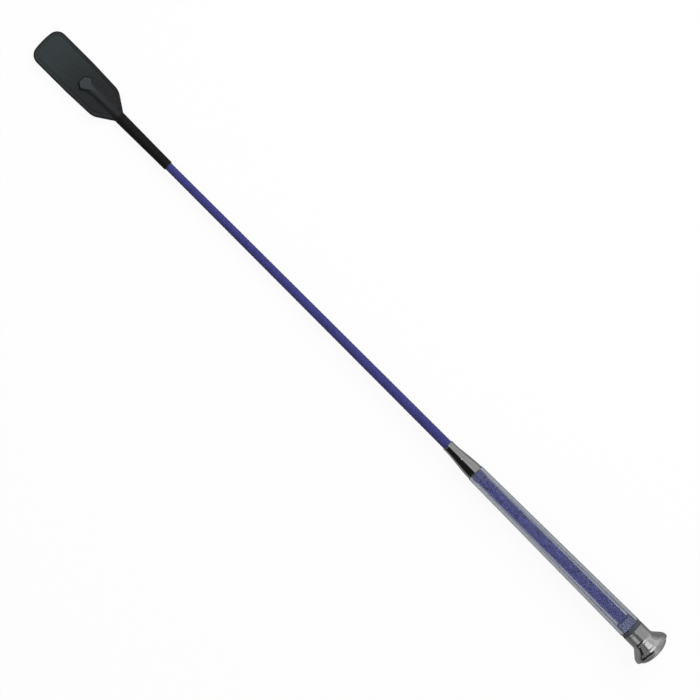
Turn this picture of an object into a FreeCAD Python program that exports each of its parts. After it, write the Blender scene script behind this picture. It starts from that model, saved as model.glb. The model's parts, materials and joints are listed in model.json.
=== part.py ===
"""Riding crop: a braided glass-fibre shaft with a leather keeper, a clear grip tube and a chromed pommel.

The shaft's axis is X, with the keeper's tip at the +X end. The keeper's broad faces look along +Z and -Z.
The origin is on the axis, in the middle of the pommel's collar. Lengths are in millimetres.
"""
import FreeCAD, Part
import math
import os
import re

import Sketcher

DOCUMENT = FreeCAD.newDocument("riding_crop")

# ---- driving sizes, each written once -------------------------------------------------------------------
SIZES = {
    # pommel
    "collar_length": 10.5,
    "collar_radius": 9.0,
    "collar_wall": 1.4,
    "flare_length": 7.25,
    "rim_radius": 15.4,
    "rim_thickness": 3.0,
    "rim_wall": 1.2,
    "disc_seat_depth": 2.0,
    "disc_step_height": 0.7,
    "disc_step_width": 1.1,
    "disc_dome_height": 4.2,
    "pommel_pin_radius": 0.8,
    "pommel_pin_recess": 0.3,
    "pommel_pin_length": 3.6,
    # grip
    "washer_length": 3.25,
    "washer_radius": 8.8,
    "tube_length": 163.5,
    "tube_rear_radius": 9.05,
    "tube_front_radius": 7.05,
    "tube_wall": 2.05,
    "tube_edge_radius": 0.4,
    "plug_depth": 7.5,
    "bush_depth": 7.0,
    "glue_gap": 0.12,
    # ferrule
    "ferrule_length": 29.0,
    "ferrule_front_radius": 4.6,
    "ferrule_rear_radius": 6.6,
    "ferrule_seat_radius": 5.6,
    "ferrule_seat_depth": 8.0,
    "ferrule_edge_radius": 0.3,
    "tack_setback": 14.4,
    "tack_radius": 0.5,
    "tack_stand_out": 0.25,
    "tack_dome_height": 0.2,
    # shaft
    "shaft_show_length": 295.3,
    "rod_butt_depth": 10.0,
    "rod_butt_radius": 3.55,
    "rod_tip_radius": 1.95,
    "braid_thickness": 0.85,
    "braid_end_gap": 0.5,
    # neck binding and keeper
    "binding_length": 52.3,
    "binding_thickness": 0.72,
    "tongue_length": 36.0,
    "keeper_length": 81.0,
    "keeper_half_width": 14.95,
    "keeper_gap": 0.3,
    "leather_thickness": 1.6,
    "filler_thickness": 1.2,
    "blade_length": 39.0,
    "tip_corner_radius": 10.5,
    "tip_crown": 1.1,
    "shoulder_length": 16.2,
    "shoulder_half_width": 14.1,
    "shoulder_radius": 12.0,
    "throat_half_width": 4.8,
    "flex_clearance": 0.3,
    "guard_length": 10.5,
    "guard_wall": 0.65,
    "guard_nose_length": 2.2,
    "guard_nose_radius": 1.9,
    "guard_end_wall": 1.5,
    "guard_cover": 1.0,
    "ridge_ramp": 3.5,
    "lozenge_length": 11.0,
    "lozenge_nose_length": 3.6,
    "lozenge_half_width": 5.0,
    "lozenge_nose_half_width": 2.6,
    "lozenge_rise": 0.15,
    # seam
    "seam_inset": 3.0,
    "stitch_pitch": 3.6,
    "stitch_length": 2.6,
    "stitch_width": 0.55,
    "stitch_depth": 0.35,
    "stitch_end_margin": 1.2,
    "stitch_throat_margin": 6.0,
}

# ---- places and radii that follow from them -------------------------------------------------------------
DERIVED = {
    "collar_front": "collar_length / 2",
    "collar_rear": "(-collar_length / 2)",
    "collar_bore": "(collar_radius - collar_wall)",
    "flare_rear": "(collar_rear - flare_length)",
    "rim_rear": "(flare_rear - rim_thickness)",
    "disc_seat_radius": "(rim_radius - rim_wall)",
    "disc_seat": "(rim_rear + disc_seat_depth)",
    "disc_step": "(rim_rear - disc_step_height)",
    "tube_rear": "(collar_front + washer_length)",
    "tube_front": "(tube_rear + tube_length)",
    "tube_rear_bore": "(tube_rear_radius - tube_wall)",
    "tube_front_bore": "(tube_front_radius - tube_wall)",
    "plug_front": "(tube_rear + plug_depth)",
    "bush_rear": "(tube_front - bush_depth)",
    "bush_front": "(tube_front + ferrule_seat_depth)",
    "ferrule_front": "(tube_front + ferrule_length)",
    "ferrule_waist": "(tube_front + ferrule_length / 2)",
    "ferrule_waist_radius": "((ferrule_front_radius + ferrule_rear_radius) / 2)",
    "tack_place": "(ferrule_front - tack_setback)",
    "binding_rear": "(ferrule_front + shaft_show_length)",
    "binding_front": "(binding_rear + binding_length)",
    "tongue_rear": "(binding_front - tongue_length)",
    "throat": "(binding_front + keeper_gap)",
    "shoulder": "(binding_front + shoulder_length)",
    "keeper_tip": "(binding_front + keeper_length)",
    "flex_line": "(keeper_tip - blade_length)",
    "filler_half": "(filler_thickness / 2)",
    "keeper_half": "(filler_thickness / 2 + leather_thickness)",
    "neck_end": "(flex_line - keeper_half - flex_clearance)",
    "guard_front": "(neck_end - guard_cover)",
    "guard_rear": "(guard_front - guard_length)",
    "guard_shoulder": "(guard_front - guard_nose_length)",
    "rod_butt": "(collar_front - rod_butt_depth)",
    "rod_tip": "(guard_front - guard_end_wall)",
    "guard_radius": "(rod_tip_radius + guard_wall)",
    "lozenge_top": "(guard_radius + leather_thickness + lozenge_rise)",
}

SHEET = DOCUMENT.addObject("Spreadsheet::Sheet", "Sizes")
for row, (alias, number) in enumerate(SIZES.items(), start=1):
    SHEET.set(f"A{row}", alias.replace("_", " "))
    SHEET.set(f"B{row}", str(number))
    SHEET.setAlias(f"B{row}", alias)
DOCUMENT.recompute()


def formula(text):
    """Write a formula of sizes and derived places as one that reads the sheet."""
    def spell(match):
        word = match.group(0)
        if word in DERIVED:
            return formula(DERIVED[word])
        return f"Sizes.{word}" if word in SIZES else word
    return re.sub(r"[a-z_]+", spell, text)


def value(text):
    """The number that a formula has now, in millimetres."""
    return float(SHEET.evalExpression(formula(text)))


def rod_at(place):
    """The bare rod's radius at a place along its even taper."""
    return (f"(rod_butt_radius - (rod_butt_radius - rod_tip_radius)"
            f" * ({place} - rod_butt) / (rod_tip - rod_butt))")


def braid_at(place):
    """The braid's outer radius at a place."""
    return f"({rod_at(place)} + braid_thickness)"


def tube_bore_at(place):
    """The grip tube's bore radius at a place."""
    return (f"(tube_rear_bore - (tube_rear_bore - tube_front_bore)"
            f" * ({place} - tube_rear) / tube_length)")


def sleeve_at(place):
    """The bore of what is glued round the braid."""
    return f"({braid_at(place)} + glue_gap)"


def tongue_at(place):
    """The outer radius of the leather tongue, which is pared down towards its end beside the braid."""
    return (f"({rod_at(place)} + braid_thickness + (leather_thickness - braid_thickness)"
            f" * ({place} - tongue_rear) / tongue_length)")


# ---- bodies, sketches and features ----------------------------------------------------------------------
def new_body(label):
    body = DOCUMENT.addObject("PartDesign::Body", label)
    body.Label = label
    return body


def new_sketch(body, role, height="0"):
    """A sketch on one of the body's own origin planes, lifted off it by a formula."""
    plane = next(item for item in body.Origin.OriginFeatures if item.Role == role)
    sketch = body.newObject("Sketcher::SketchObject", body.Label + "_sketch")
    sketch.AttachmentSupport = [(plane, "")]
    sketch.MapMode = "FlatFace"
    if height != "0":
        sketch.setExpression("AttachmentOffset.Base.z", formula(height))
    return sketch


def pin_coordinate(sketch, point, kind, text):
    """Hold one coordinate of a sketch point at a formula's value."""
    geometry, end = point
    if text == "0":
        axis = -1 if kind == "DistanceY" else -2
        sketch.addConstraint(Sketcher.Constraint("PointOnObject", geometry, end, axis))
        return
    number = sketch.addConstraint(Sketcher.Constraint(kind, -1, 1, geometry, end, value(text)))
    sketch.setExpression(f"Constraints[{number}]", formula(text))


def short_arc(start, end, centre):
    """The arc under half a turn from start to end, and whether it runs clockwise."""
    first = math.atan2(start.y - centre.y, start.x - centre.x)
    last = math.atan2(end.y - centre.y, end.x - centre.x)
    clockwise = (last - first) % math.tau > math.pi
    if clockwise:
        first, last = last, first
    circle = Part.Circle(centre, FreeCAD.Vector(0, 0, 1), start.distanceToPoint(centre))
    return Part.ArcOfCircle(circle, first, last), clockwise


def draw_loop(sketch, points, arcs=None):
    """Draw a closed loop through points given as formulas.

    arcs maps the number of a side to the formula of its centre's x; every other side is straight.
    """
    arcs = arcs or {}
    places = [FreeCAD.Vector(value(along), value(across), 0) for along, across in points]
    starts, ends = [], []
    for side, start in enumerate(places):
        end = places[(side + 1) % len(places)]
        if side not in arcs:
            number = sketch.addGeometry(Part.LineSegment(start, end), False)
            starts.append((number, 1))
            ends.append((number, 2))
            continue
        middle = value(arcs[side])
        reach = (end.x - middle) ** 2 - (start.x - middle) ** 2 + end.y ** 2 - start.y ** 2
        centre_y = 0.0 if end.y == -start.y else reach / (2 * (end.y - start.y))
        arc, clockwise = short_arc(start, end, FreeCAD.Vector(middle, centre_y, 0))
        number = sketch.addGeometry(arc, False)
        starts.append((number, 2 if clockwise else 1))
        ends.append((number, 1 if clockwise else 2))
    for side, (along, across) in enumerate(points):
        following = starts[(side + 1) % len(points)]
        sketch.addConstraint(Sketcher.Constraint("Coincident", *ends[side], *following))
        pin_coordinate(sketch, starts[side], "DistanceX", along)
        pin_coordinate(sketch, starts[side], "DistanceY", across)
        if side in arcs:
            pin_coordinate(sketch, (starts[side][0], 3), "DistanceX", arcs[side])


def turned(body, points, arcs=None, angle=360, below=False, cut=False):
    """Turn a profile of (x, radius) formulas about X, as added or removed material."""
    sketch = new_sketch(body, "XY_Plane")
    draw_loop(sketch, points, arcs)
    kind = "PartDesign::Groove" if cut else "PartDesign::Revolution"
    feature = body.newObject(kind, body.Label + ("_groove" if cut else "_turning"))
    feature.Profile = sketch
    feature.ReferenceAxis = (sketch, ["H_Axis"])
    feature.Angle = angle
    feature.Reversed = below
    DOCUMENT.recompute()
    return feature


def padded(body, points, bottom, thickness, arcs=None):
    """Raise an outline of (x, y) formulas from a height by a thickness."""
    sketch = new_sketch(body, "XY_Plane", bottom)
    draw_loop(sketch, points, arcs)
    pad = body.newObject("PartDesign::Pad", body.Label + "_pad")
    pad.Profile = sketch
    pad.setExpression("Length", formula(thickness))
    DOCUMENT.recompute()
    return pad


def rounded(body, names, radius):
    """Round the named edges of the body's last feature."""
    before = body.Tip
    fillet = body.newObject("PartDesign::Fillet", body.Label + "_fillet")
    fillet.Base = (before, names)
    fillet.setExpression("Radius", formula(radius))
    DOCUMENT.recompute()
    return fillet


def upright_edges(body, along, across):
    """Names of the edges parallel to Z at a place in plan."""
    names = []
    for number, edge in enumerate(body.Tip.Shape.Edges, start=1):
        points = [vertex.Point for vertex in edge.Vertexes]
        at_place = all(abs(p.x - along) < 1e-3 and abs(p.y - across) < 1e-3 for p in points)
        if len(points) == 2 and at_place:
            names.append(f"Edge{number}")
    return names


def ring_edges(body, along, radius):
    """Names of the circular edges about X at a place and radius."""
    names = []
    for number, edge in enumerate(body.Tip.Shape.Edges, start=1):
        curve = edge.Curve
        if not isinstance(curve, Part.Circle):
            continue
        if abs(curve.Center.x - along) < 1e-3 and abs(curve.Radius - radius) < 1e-3:
            names.append(f"Edge{number}")
    return names


def drilled(body, along, radius, depth, upward):
    """Cut a round hole from the axis outwards, up or down, and check that it removed material."""
    before = body.Tip.Shape.Volume
    sketch = new_sketch(body, "XY_Plane")
    centre = FreeCAD.Vector(value(along), 0, 0)
    circle = Part.Circle(centre, FreeCAD.Vector(0, 0, 1), value(radius))
    number = sketch.addGeometry(circle, False)
    pin_coordinate(sketch, (number, 3), "DistanceX", along)
    pin_coordinate(sketch, (number, 3), "DistanceY", "0")
    size = sketch.addConstraint(Sketcher.Constraint("Radius", number, value(radius)))
    sketch.setExpression(f"Constraints[{size}]", formula(radius))
    pocket = body.newObject("PartDesign::Pocket", body.Label + "_hole")
    pocket.Profile = sketch
    pocket.setExpression("Length", formula(depth))
    pocket.Reversed = upward
    DOCUMENT.recompute()
    if body.Tip.Shape.Volume >= before:
        raise ValueError(f"the hole in {body.Label} removes nothing")
    return pocket


# ---- shaft ----------------------------------------------------------------------------------------------
def make_rod_core():
    """The tapered glass-fibre rod that runs from the pommel to the keeper's flex line."""
    body = new_body("rod_core")
    turned(body, [("rod_butt", "0"), ("rod_butt", "rod_butt_radius"),
                  ("rod_tip", "rod_tip_radius"), ("rod_tip", "0")])
    return body


def make_braid_cover():
    """The thread cover plaited over the rod, from the rear plug to beneath the neck binding."""
    body = new_body("braid_cover")
    front = "(tongue_rear - braid_end_gap)"
    turned(body, [("plug_front", rod_at("plug_front")), ("plug_front", braid_at("plug_front")),
                  (front, braid_at(front)), (front, rod_at(front))])
    return body


def make_tip_guard():
    """The cap over the rod's tip, which keeps it from piercing the leather."""
    body = new_body("tip_guard")
    turned(body, [("guard_rear", f"({rod_at('guard_rear')} + glue_gap)"),
                  ("guard_rear", "guard_radius"), ("guard_shoulder", "guard_radius"),
                  ("guard_front", "guard_nose_radius"), ("guard_front", "0"), ("rod_tip", "0"),
                  ("rod_tip", "(rod_tip_radius + glue_gap)")])
    return body


# ---- ferrule and grip -----------------------------------------------------------------------------------
def make_ferrule():
    """The chromed cone where the shaft enters the grip, with an easy S-shaped side."""
    body = new_body("ferrule")
    turned(body, [("ferrule_front", sleeve_at("ferrule_front")),
                  ("ferrule_front", "ferrule_front_radius"),
                  ("ferrule_waist", "ferrule_waist_radius"),
                  ("tube_front", "ferrule_rear_radius"),
                  ("tube_front", "ferrule_seat_radius"),
                  ("bush_front", "ferrule_seat_radius"),
                  ("bush_front", sleeve_at("bush_front"))],
           arcs={1: "ferrule_front", 2: "tube_front"})
    rounded(body, ring_edges(body, value("ferrule_front"), value("ferrule_front_radius")),
            "ferrule_edge_radius")
    drilled(body, "tack_place", "tack_radius", "ferrule_rear_radius + tack_stand_out", True)
    return body


def make_ferrule_tack():
    """The small domed tack that holds the ferrule to the shaft."""
    body = new_body("ferrule_tack")
    sketch = new_sketch(body, "XZ_Plane")
    top = "(ferrule_waist_radius + tack_stand_out)"
    foot = braid_at("tack_place") + " + 0.05"
    draw_loop(sketch, [("0", foot), ("tack_radius", foot), ("tack_radius", top),
                       ("0", top + " + tack_dome_height")], arcs={2: "0"})
    turning = body.newObject("PartDesign::Revolution", "ferrule_tack_turning")
    turning.Profile = sketch
    turning.ReferenceAxis = (sketch, ["V_Axis"])
    turning.Angle = 360
    body.setExpression("Placement.Base.x", formula("tack_place"))
    DOCUMENT.recompute()
    return body


def make_front_bush():
    """The stepped bush that centres the shaft in the ferrule and in the front of the tube."""
    body = new_body("front_bush")
    in_tube = "(tube_front_bore - glue_gap)"
    in_ferrule = "(ferrule_seat_radius - glue_gap)"
    turned(body, [("bush_rear", sleeve_at("bush_rear")), ("bush_rear", in_tube),
                  ("tube_front", in_tube), ("tube_front", in_ferrule),
                  ("bush_front", in_ferrule), ("bush_front", sleeve_at("bush_front"))])
    return body


def make_grip_tube():
    """The clear tapered tube around the braided shaft, with an air gap inside."""
    body = new_body("grip_tube")
    turned(body, [("tube_rear", "tube_rear_bore"), ("tube_rear", "tube_rear_radius"),
                  ("tube_front", "tube_front_radius"), ("tube_front", "tube_front_bore")])
    edges = ring_edges(body, value("tube_front"), value("tube_front_radius"))
    edges += ring_edges(body, value("tube_rear"), value("tube_rear_radius"))
    rounded(body, edges, "tube_edge_radius")
    return body


def make_rear_washer():
    """The dark washer between the tube and the pommel."""
    body = new_body("rear_washer")
    turned(body, [("collar_front", "tube_rear_bore"), ("collar_front", "washer_radius"),
                  ("tube_rear", "washer_radius"), ("tube_rear", "tube_rear_bore")])
    return body


def make_rear_plug():
    """The stepped plug that joins the rod, the tube and the pommel's collar."""
    body = new_body("rear_plug")
    in_collar = "(collar_bore - glue_gap)"
    in_washer = "(tube_rear_bore - glue_gap)"
    turned(body, [("rod_butt", "(rod_butt_radius + glue_gap)"), ("rod_butt", in_collar),
                  ("collar_front", in_collar), ("collar_front", in_washer),
                  ("tube_rear", in_washer), ("plug_front", f"({tube_bore_at('plug_front')} - glue_gap)"),
                  ("plug_front", f"({rod_at('plug_front')} + glue_gap)")])
    drilled(body, "0", "pommel_pin_radius", "collar_radius", False)
    return body


# ---- pommel ---------------------------------------------------------------------------------------------
def make_pommel_flare():
    """The chromed collar and its flare, with a seat for the end disc in the rim.

    The flare's outside is a cone. Its inside is an arc that leaves the bore level, at least one wall in.
    """
    body = new_body("pommel_flare")
    rise = "(rim_radius - collar_radius)"
    bend = f"((flare_length ^ 2 + {rise} ^ 2) / (2 * {rise}))"
    reach = "(collar_rear - disc_seat)"
    seat_bore = (f"(collar_radius + {bend}"
                 f" - sqrt(({bend} + collar_wall) ^ 2 - {reach} ^ 2))")
    turned(body, [("collar_front", "collar_bore"), ("collar_front", "collar_radius"),
                  ("collar_rear", "collar_radius"), ("flare_rear", "rim_radius"),
                  ("rim_rear", "rim_radius"), ("rim_rear", "disc_seat_radius"),
                  ("disc_seat", "disc_seat_radius"), ("disc_seat", seat_bore),
                  ("collar_rear", "collar_bore")],
           arcs={7: "collar_rear"})
    edges = ring_edges(body, value("rim_rear"), value("rim_radius"))
    edges += ring_edges(body, value("flare_rear"), value("rim_radius"))
    rounded(body, edges, "rim_wall / 2")
    drilled(body, "0", "pommel_pin_radius", "collar_radius", False)
    return body


def make_pommel_end_disc():
    """The domed disc pressed into the rim, with one step round its dome."""
    body = new_body("pommel_end_disc")
    dome_radius = "(disc_seat_radius - disc_step_width)"
    turned(body, [("disc_seat", "0"), ("disc_seat", "disc_seat_radius"),
                  ("rim_rear", "disc_seat_radius"), ("disc_step", dome_radius),
                  ("disc_step - disc_dome_height", "0")],
           arcs={3: f"disc_step - disc_dome_height / 2 + {dome_radius} ^ 2 / (2 * disc_dome_height)"})
    return body


def make_pommel_pin():
    """The flush pin on the collar's underside that locks the pommel to its plug."""
    body = new_body("pommel_pin")
    sketch = new_sketch(body, "XZ_Plane")
    head = "(-(collar_radius - pommel_pin_recess))"
    foot = f"({head} + pommel_pin_length)"
    draw_loop(sketch, [("0", head), ("pommel_pin_radius", head), ("pommel_pin_radius", foot),
                       ("0", foot)])
    turning = body.newObject("PartDesign::Revolution", "pommel_pin_turning")
    turning.Profile = sketch
    turning.ReferenceAxis = (sketch, ["V_Axis"])
    turning.Angle = 360
    DOCUMENT.recompute()
    return body


# ---- neck binding and keeper ----------------------------------------------------------------------------
RIDGE = [
    ("throat", tongue_at("binding_front")),
    ("guard_rear - ridge_ramp", f"({rod_at('guard_rear')} + leather_thickness)"),
    ("guard_rear", "(guard_radius + leather_thickness)"),
    ("guard_shoulder", "(guard_radius + leather_thickness)"),
    ("neck_end", "keeper_half"),
]
NECK_PLAN = [
    ("throat", "throat_half_width"),
    ("shoulder", "shoulder_half_width"),
    ("neck_end", "keeper_half_width"),
    ("neck_end", "-keeper_half_width"),
    ("shoulder", "-shoulder_half_width"),
    ("throat", "-throat_half_width"),
]
BLADE_PLAN = [
    ("flex_line - keeper_half", "keeper_half_width"),
    ("keeper_tip - tip_crown", "keeper_half_width"),
    ("keeper_tip - tip_crown", "-keeper_half_width"),
    ("flex_line - keeper_half", "-keeper_half_width"),
]
LOZENGE_PLAN = [
    ("guard_front - lozenge_length", "0"),
    ("guard_front - lozenge_nose_length", "lozenge_half_width"),
    ("guard_front", "lozenge_nose_half_width"),
    ("guard_front", "-lozenge_nose_half_width"),
    ("guard_front - lozenge_nose_length", "-lozenge_half_width"),
]
CROWN_CENTRE = "keeper_tip - tip_crown / 2 - keeper_half_width ^ 2 / (2 * tip_crown)"


def make_neck_binding():
    """The thread whipping that binds the leather tongue and the braid's end to the rod."""
    body = new_body("neck_binding")
    turned(body, [("binding_rear", sleeve_at("binding_rear")),
                  ("binding_rear", f"({braid_at('binding_rear')} + binding_thickness)"),
                  ("binding_front", f"({tongue_at('binding_front')} + binding_thickness)"),
                  ("binding_front", f"({tongue_at('binding_front')} + glue_gap)"),
                  ("tongue_rear", sleeve_at("tongue_rear"))])
    return body


def neck_plate(body, bottom, thickness):
    """Raise the neck's outline and round its shoulders."""
    padded(body, NECK_PLAN, bottom, thickness)
    for side in (1, -1):
        edges = upright_edges(body, value("shoulder"), side * value("shoulder_half_width"))
        rounded(body, edges, "shoulder_radius")


def neck_plate_shape(body):
    """The neck's plate as it is after its shoulders are rounded, without the ridge."""
    fillets = [item for item in body.Group if item.isDerivedFrom("PartDesign::Fillet")]
    return fillets[-1].Shape


def make_neck_leather(label, below):
    """One leather of the keeper's neck: a plate, the half ridge with its lozenge, and the bound tongue."""
    body = new_body(label)
    neck_plate(body, "(-keeper_half)" if below else "filler_half", "leather_thickness")
    tongue = [("tongue_rear", "0"), ("tongue_rear", tongue_at("tongue_rear")),
              ("binding_front", tongue_at("binding_front"))]
    turned(body, tongue + RIDGE + [("neck_end", "0")], angle=180, below=below)
    padded(body, LOZENGE_PLAN, "(-lozenge_top)" if below else "filler_half", "(lozenge_top - filler_half)")
    past_tongue = "(tongue_rear - braid_end_gap)"
    turned(body, [(past_tongue, "0"), (past_tongue, f"({rod_at(past_tongue)} + glue_gap)"),
                  ("guard_rear", f"({rod_at('guard_rear')} + glue_gap)"),
                  ("guard_rear", "(guard_radius + glue_gap)"),
                  ("guard_shoulder", "(guard_radius + glue_gap)"),
                  ("guard_front + glue_gap", "guard_nose_radius"),
                  ("guard_front + glue_gap", "0")], cut=True)
    return body


def make_neck_filler():
    """The filler between the neck's leathers, slotted round the ridge."""
    body = new_body("keeper_neck_filler")
    neck_plate(body, "(-filler_half)", "filler_thickness")
    turned(body, [("throat - keeper_gap", "0"), ("throat - keeper_gap", tongue_at("binding_front"))]
           + RIDGE + [("neck_end + keeper_gap", "keeper_half"), ("neck_end + keeper_gap", "0")],
           cut=True)
    return body


def make_blade_layer(label, bottom, thickness):
    """One layer of the keeper's blade, its rear end rounded about the flex line."""
    body = new_body(label)
    padded(body, BLADE_PLAN, bottom, thickness, arcs={1: CROWN_CENTRE})
    for side in (1, -1):
        edges = upright_edges(body, value("keeper_tip - tip_crown"), side * value("keeper_half_width"))
        rounded(body, edges, "tip_corner_radius")
    before = body.Tip.Shape.Volume
    sketch = new_sketch(body, "XZ_Plane")
    beyond = "2 * keeper_half"
    draw_loop(sketch, [("flex_line", "keeper_half"), ("flex_line", beyond),
                       (f"flex_line - {beyond}", beyond), (f"flex_line - {beyond}", "-" + beyond),
                       ("flex_line", "-" + beyond), ("flex_line", "-keeper_half"),
                       ("flex_line - keeper_half", "0")], arcs={5: "flex_line", 6: "flex_line"})
    pocket = body.newObject("PartDesign::Pocket", body.Label + "_end")
    pocket.Profile = sketch
    pocket.Midplane = True
    pocket.setExpression("Length", formula("3 * keeper_half_width"))
    DOCUMENT.recompute()
    if body.Tip.Shape.Volume >= before:
        raise ValueError(f"the rounded end of {label} removes nothing")
    return body


def stitches(outline, height, low, high):
    """Flush stitches along a line set in from an outline, between two places."""
    seam = outline.makeOffset2D(-value("seam_inset"))
    count = int(seam.Length / value("stitch_pitch"))
    points = seam.discretize(Number=count + 1)
    length, width, depth = value("stitch_length"), value("stitch_width"), value("stitch_depth")
    solids = []
    for start, end in zip(points, points[1:]):
        centre = (start + end) * 0.5
        if not low < centre.x < high:
            continue
        for top in (height, -height + depth):
            corner = FreeCAD.Vector(-length / 2, -width / 2, top - depth)
            stitch = Part.makeBox(length, width, depth, corner)
            stitch.rotate(FreeCAD.Vector(), FreeCAD.Vector(0, 0, 1),
                          math.degrees(math.atan2(end.y - start.y, end.x - start.x)))
            stitch.translate(FreeCAD.Vector(centre.x, centre.y, 0))
            solids.append(stitch)
    return Part.makeCompound(solids)


def make_stitching(label, plate, low, high):
    """The seam's stitches on both faces of one part of the keeper, set in from a plate's outline."""
    top = max((face for face in plate.Faces if abs(face.normalAt(0, 0).z) > 0.999),
              key=lambda face: face.CenterOfMass.z)
    seam = DOCUMENT.addObject("Part::Feature", label)
    seam.Label = label
    outline = Part.Wire(Part.sortEdges(top.OuterWire.Edges)[0])
    seam.Shape = stitches(outline, value("keeper_half"), value(low), value(high))
    seam.Placement = FreeCAD.Placement()
    return seam


def pierced(label, blank, seam):
    """A leather with the pockets that its stitches lie in."""
    cut = DOCUMENT.addObject("Part::Cut", label)
    cut.Label = label
    cut.Base = blank
    cut.Tool = seam
    DOCUMENT.recompute()
    return cut


def make_keeper():
    """Both leathers, the filler and the seam, for the neck and for the blade."""
    neck_front = make_neck_leather("neck_front_blank", False)
    neck_back = make_neck_leather("neck_back_blank", True)
    blade_front = make_blade_layer("blade_front_blank", "filler_half", "leather_thickness")
    blade_back = make_blade_layer("blade_back_blank", "(-keeper_half)", "leather_thickness")
    neck_seam = make_stitching("keeper_neck_stitching", neck_plate_shape(neck_front),
                               "throat + stitch_throat_margin",
                               "neck_end - seam_inset - stitch_end_margin")
    blade_seam = make_stitching("keeper_blade_stitching", blade_front.Shape,
                                "flex_line - keeper_half + seam_inset + stitch_end_margin",
                                "keeper_tip")
    return [
        pierced("keeper_neck_front", neck_front, neck_seam),
        pierced("keeper_neck_back", neck_back, neck_seam),
        make_neck_filler(),
        neck_seam,
        pierced("keeper_blade_front", blade_front, blade_seam),
        pierced("keeper_blade_back", blade_back, blade_seam),
        make_blade_layer("keeper_blade_filler", "(-filler_half)", "filler_thickness"),
        blade_seam,
    ]


def check(pieces):
    """Raise if any object failed or any piece is empty or not valid."""
    for item in DOCUMENT.Objects:
        if {"Invalid", "Error"} & set(item.State):
            raise ValueError(f"{item.Label} failed: {item.State}")
    for piece in pieces:
        if piece.Shape.isNull() or not piece.Shape.isValid() or not piece.Shape.Solids:
            raise ValueError(f"{piece.Label} has no valid solid")


def main():
    pieces = [
        make_rod_core(), make_braid_cover(), make_tip_guard(),
        make_ferrule(), make_ferrule_tack(), make_front_bush(),
        make_grip_tube(), make_rear_washer(), make_rear_plug(),
        make_pommel_flare(), make_pommel_end_disc(), make_pommel_pin(),
        make_neck_binding(),
    ] + make_keeper()
    DOCUMENT.recompute()
    check(pieces)
    os.makedirs("parts", exist_ok=True)
    for piece in pieces:
        box = piece.Shape.optimalBoundingBox(False, False)
        print(f"{piece.Label}: {len(piece.Shape.Solids)} solids, {piece.Shape.Volume:.1f} mm3,"
              f" x {box.XMin:.2f}..{box.XMax:.2f}, y {box.YMin:.2f}..{box.YMax:.2f},"
              f" z {box.ZMin:.2f}..{box.ZMax:.2f}")
        piece.Shape.exportStep(f"parts/{piece.Label}.step")


main()
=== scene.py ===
"""Riding crop: its visible pieces, their finishes, and the studio that shows them.

The crop lies along X with the leather keeper at the +X end, the keeper's front face up (+Z) and the
origin in the middle of the pommel's collar. All lengths are in metres, in the frame's own axes.
"""
from __future__ import annotations

import json
import logging
import math
from contextlib import contextmanager
from dataclasses import dataclass, field
from enum import Enum
from typing import Any, Iterator, Sequence

import bmesh
import bpy
from mathutils import Matrix, Vector


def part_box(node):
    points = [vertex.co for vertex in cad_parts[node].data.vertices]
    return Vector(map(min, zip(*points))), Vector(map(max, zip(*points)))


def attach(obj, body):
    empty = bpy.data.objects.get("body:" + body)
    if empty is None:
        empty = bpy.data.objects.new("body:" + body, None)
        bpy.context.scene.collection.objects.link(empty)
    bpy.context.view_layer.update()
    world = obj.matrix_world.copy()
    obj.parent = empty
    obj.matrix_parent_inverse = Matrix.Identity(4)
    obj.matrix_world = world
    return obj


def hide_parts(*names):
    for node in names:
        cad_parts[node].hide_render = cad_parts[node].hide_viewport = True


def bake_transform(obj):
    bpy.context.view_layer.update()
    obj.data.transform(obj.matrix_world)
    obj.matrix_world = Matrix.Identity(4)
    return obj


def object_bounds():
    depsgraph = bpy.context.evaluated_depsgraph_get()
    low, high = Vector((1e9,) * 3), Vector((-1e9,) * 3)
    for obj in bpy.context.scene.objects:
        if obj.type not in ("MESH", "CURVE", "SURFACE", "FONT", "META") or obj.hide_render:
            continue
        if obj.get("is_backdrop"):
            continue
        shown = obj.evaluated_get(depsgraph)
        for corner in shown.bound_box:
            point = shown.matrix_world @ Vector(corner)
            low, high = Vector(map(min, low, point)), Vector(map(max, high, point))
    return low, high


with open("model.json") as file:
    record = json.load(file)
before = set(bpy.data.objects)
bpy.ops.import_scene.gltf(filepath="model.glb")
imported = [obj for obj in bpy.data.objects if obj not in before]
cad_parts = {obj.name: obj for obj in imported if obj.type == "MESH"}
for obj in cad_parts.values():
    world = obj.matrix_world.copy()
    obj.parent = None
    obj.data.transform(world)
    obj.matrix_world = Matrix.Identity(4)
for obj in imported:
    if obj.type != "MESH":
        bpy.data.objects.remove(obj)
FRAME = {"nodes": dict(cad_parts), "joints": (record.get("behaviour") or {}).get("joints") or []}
CAD_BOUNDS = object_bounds()

LOG = logging.getLogger("riding_crop")
MM = 0.001
HANDLE = "handle_and_shaft"

Colour = tuple[float, float, float]


class Face(Enum):
    """The keeper's two broad faces, with the sign of Z that each looks along."""

    FRONT = 1
    BACK = -1


# ---- arithmetic in node trees --------------------------------------------------------------------
def feed(tree: bpy.types.NodeTree, slot: bpy.types.NodeSocket, item: Any) -> None:
    """Link a field or a socket to a slot, or write a plain value there.

    Args:
        tree: The tree that holds the slot.
        slot: The input socket to fill.
        item: A Field, an output socket or a plain value.
    """
    if isinstance(item, Field):
        tree.links.new(item.socket, slot)
    elif isinstance(item, bpy.types.NodeSocket):
        tree.links.new(item, slot)
    else:
        slot.default_value = item


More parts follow.
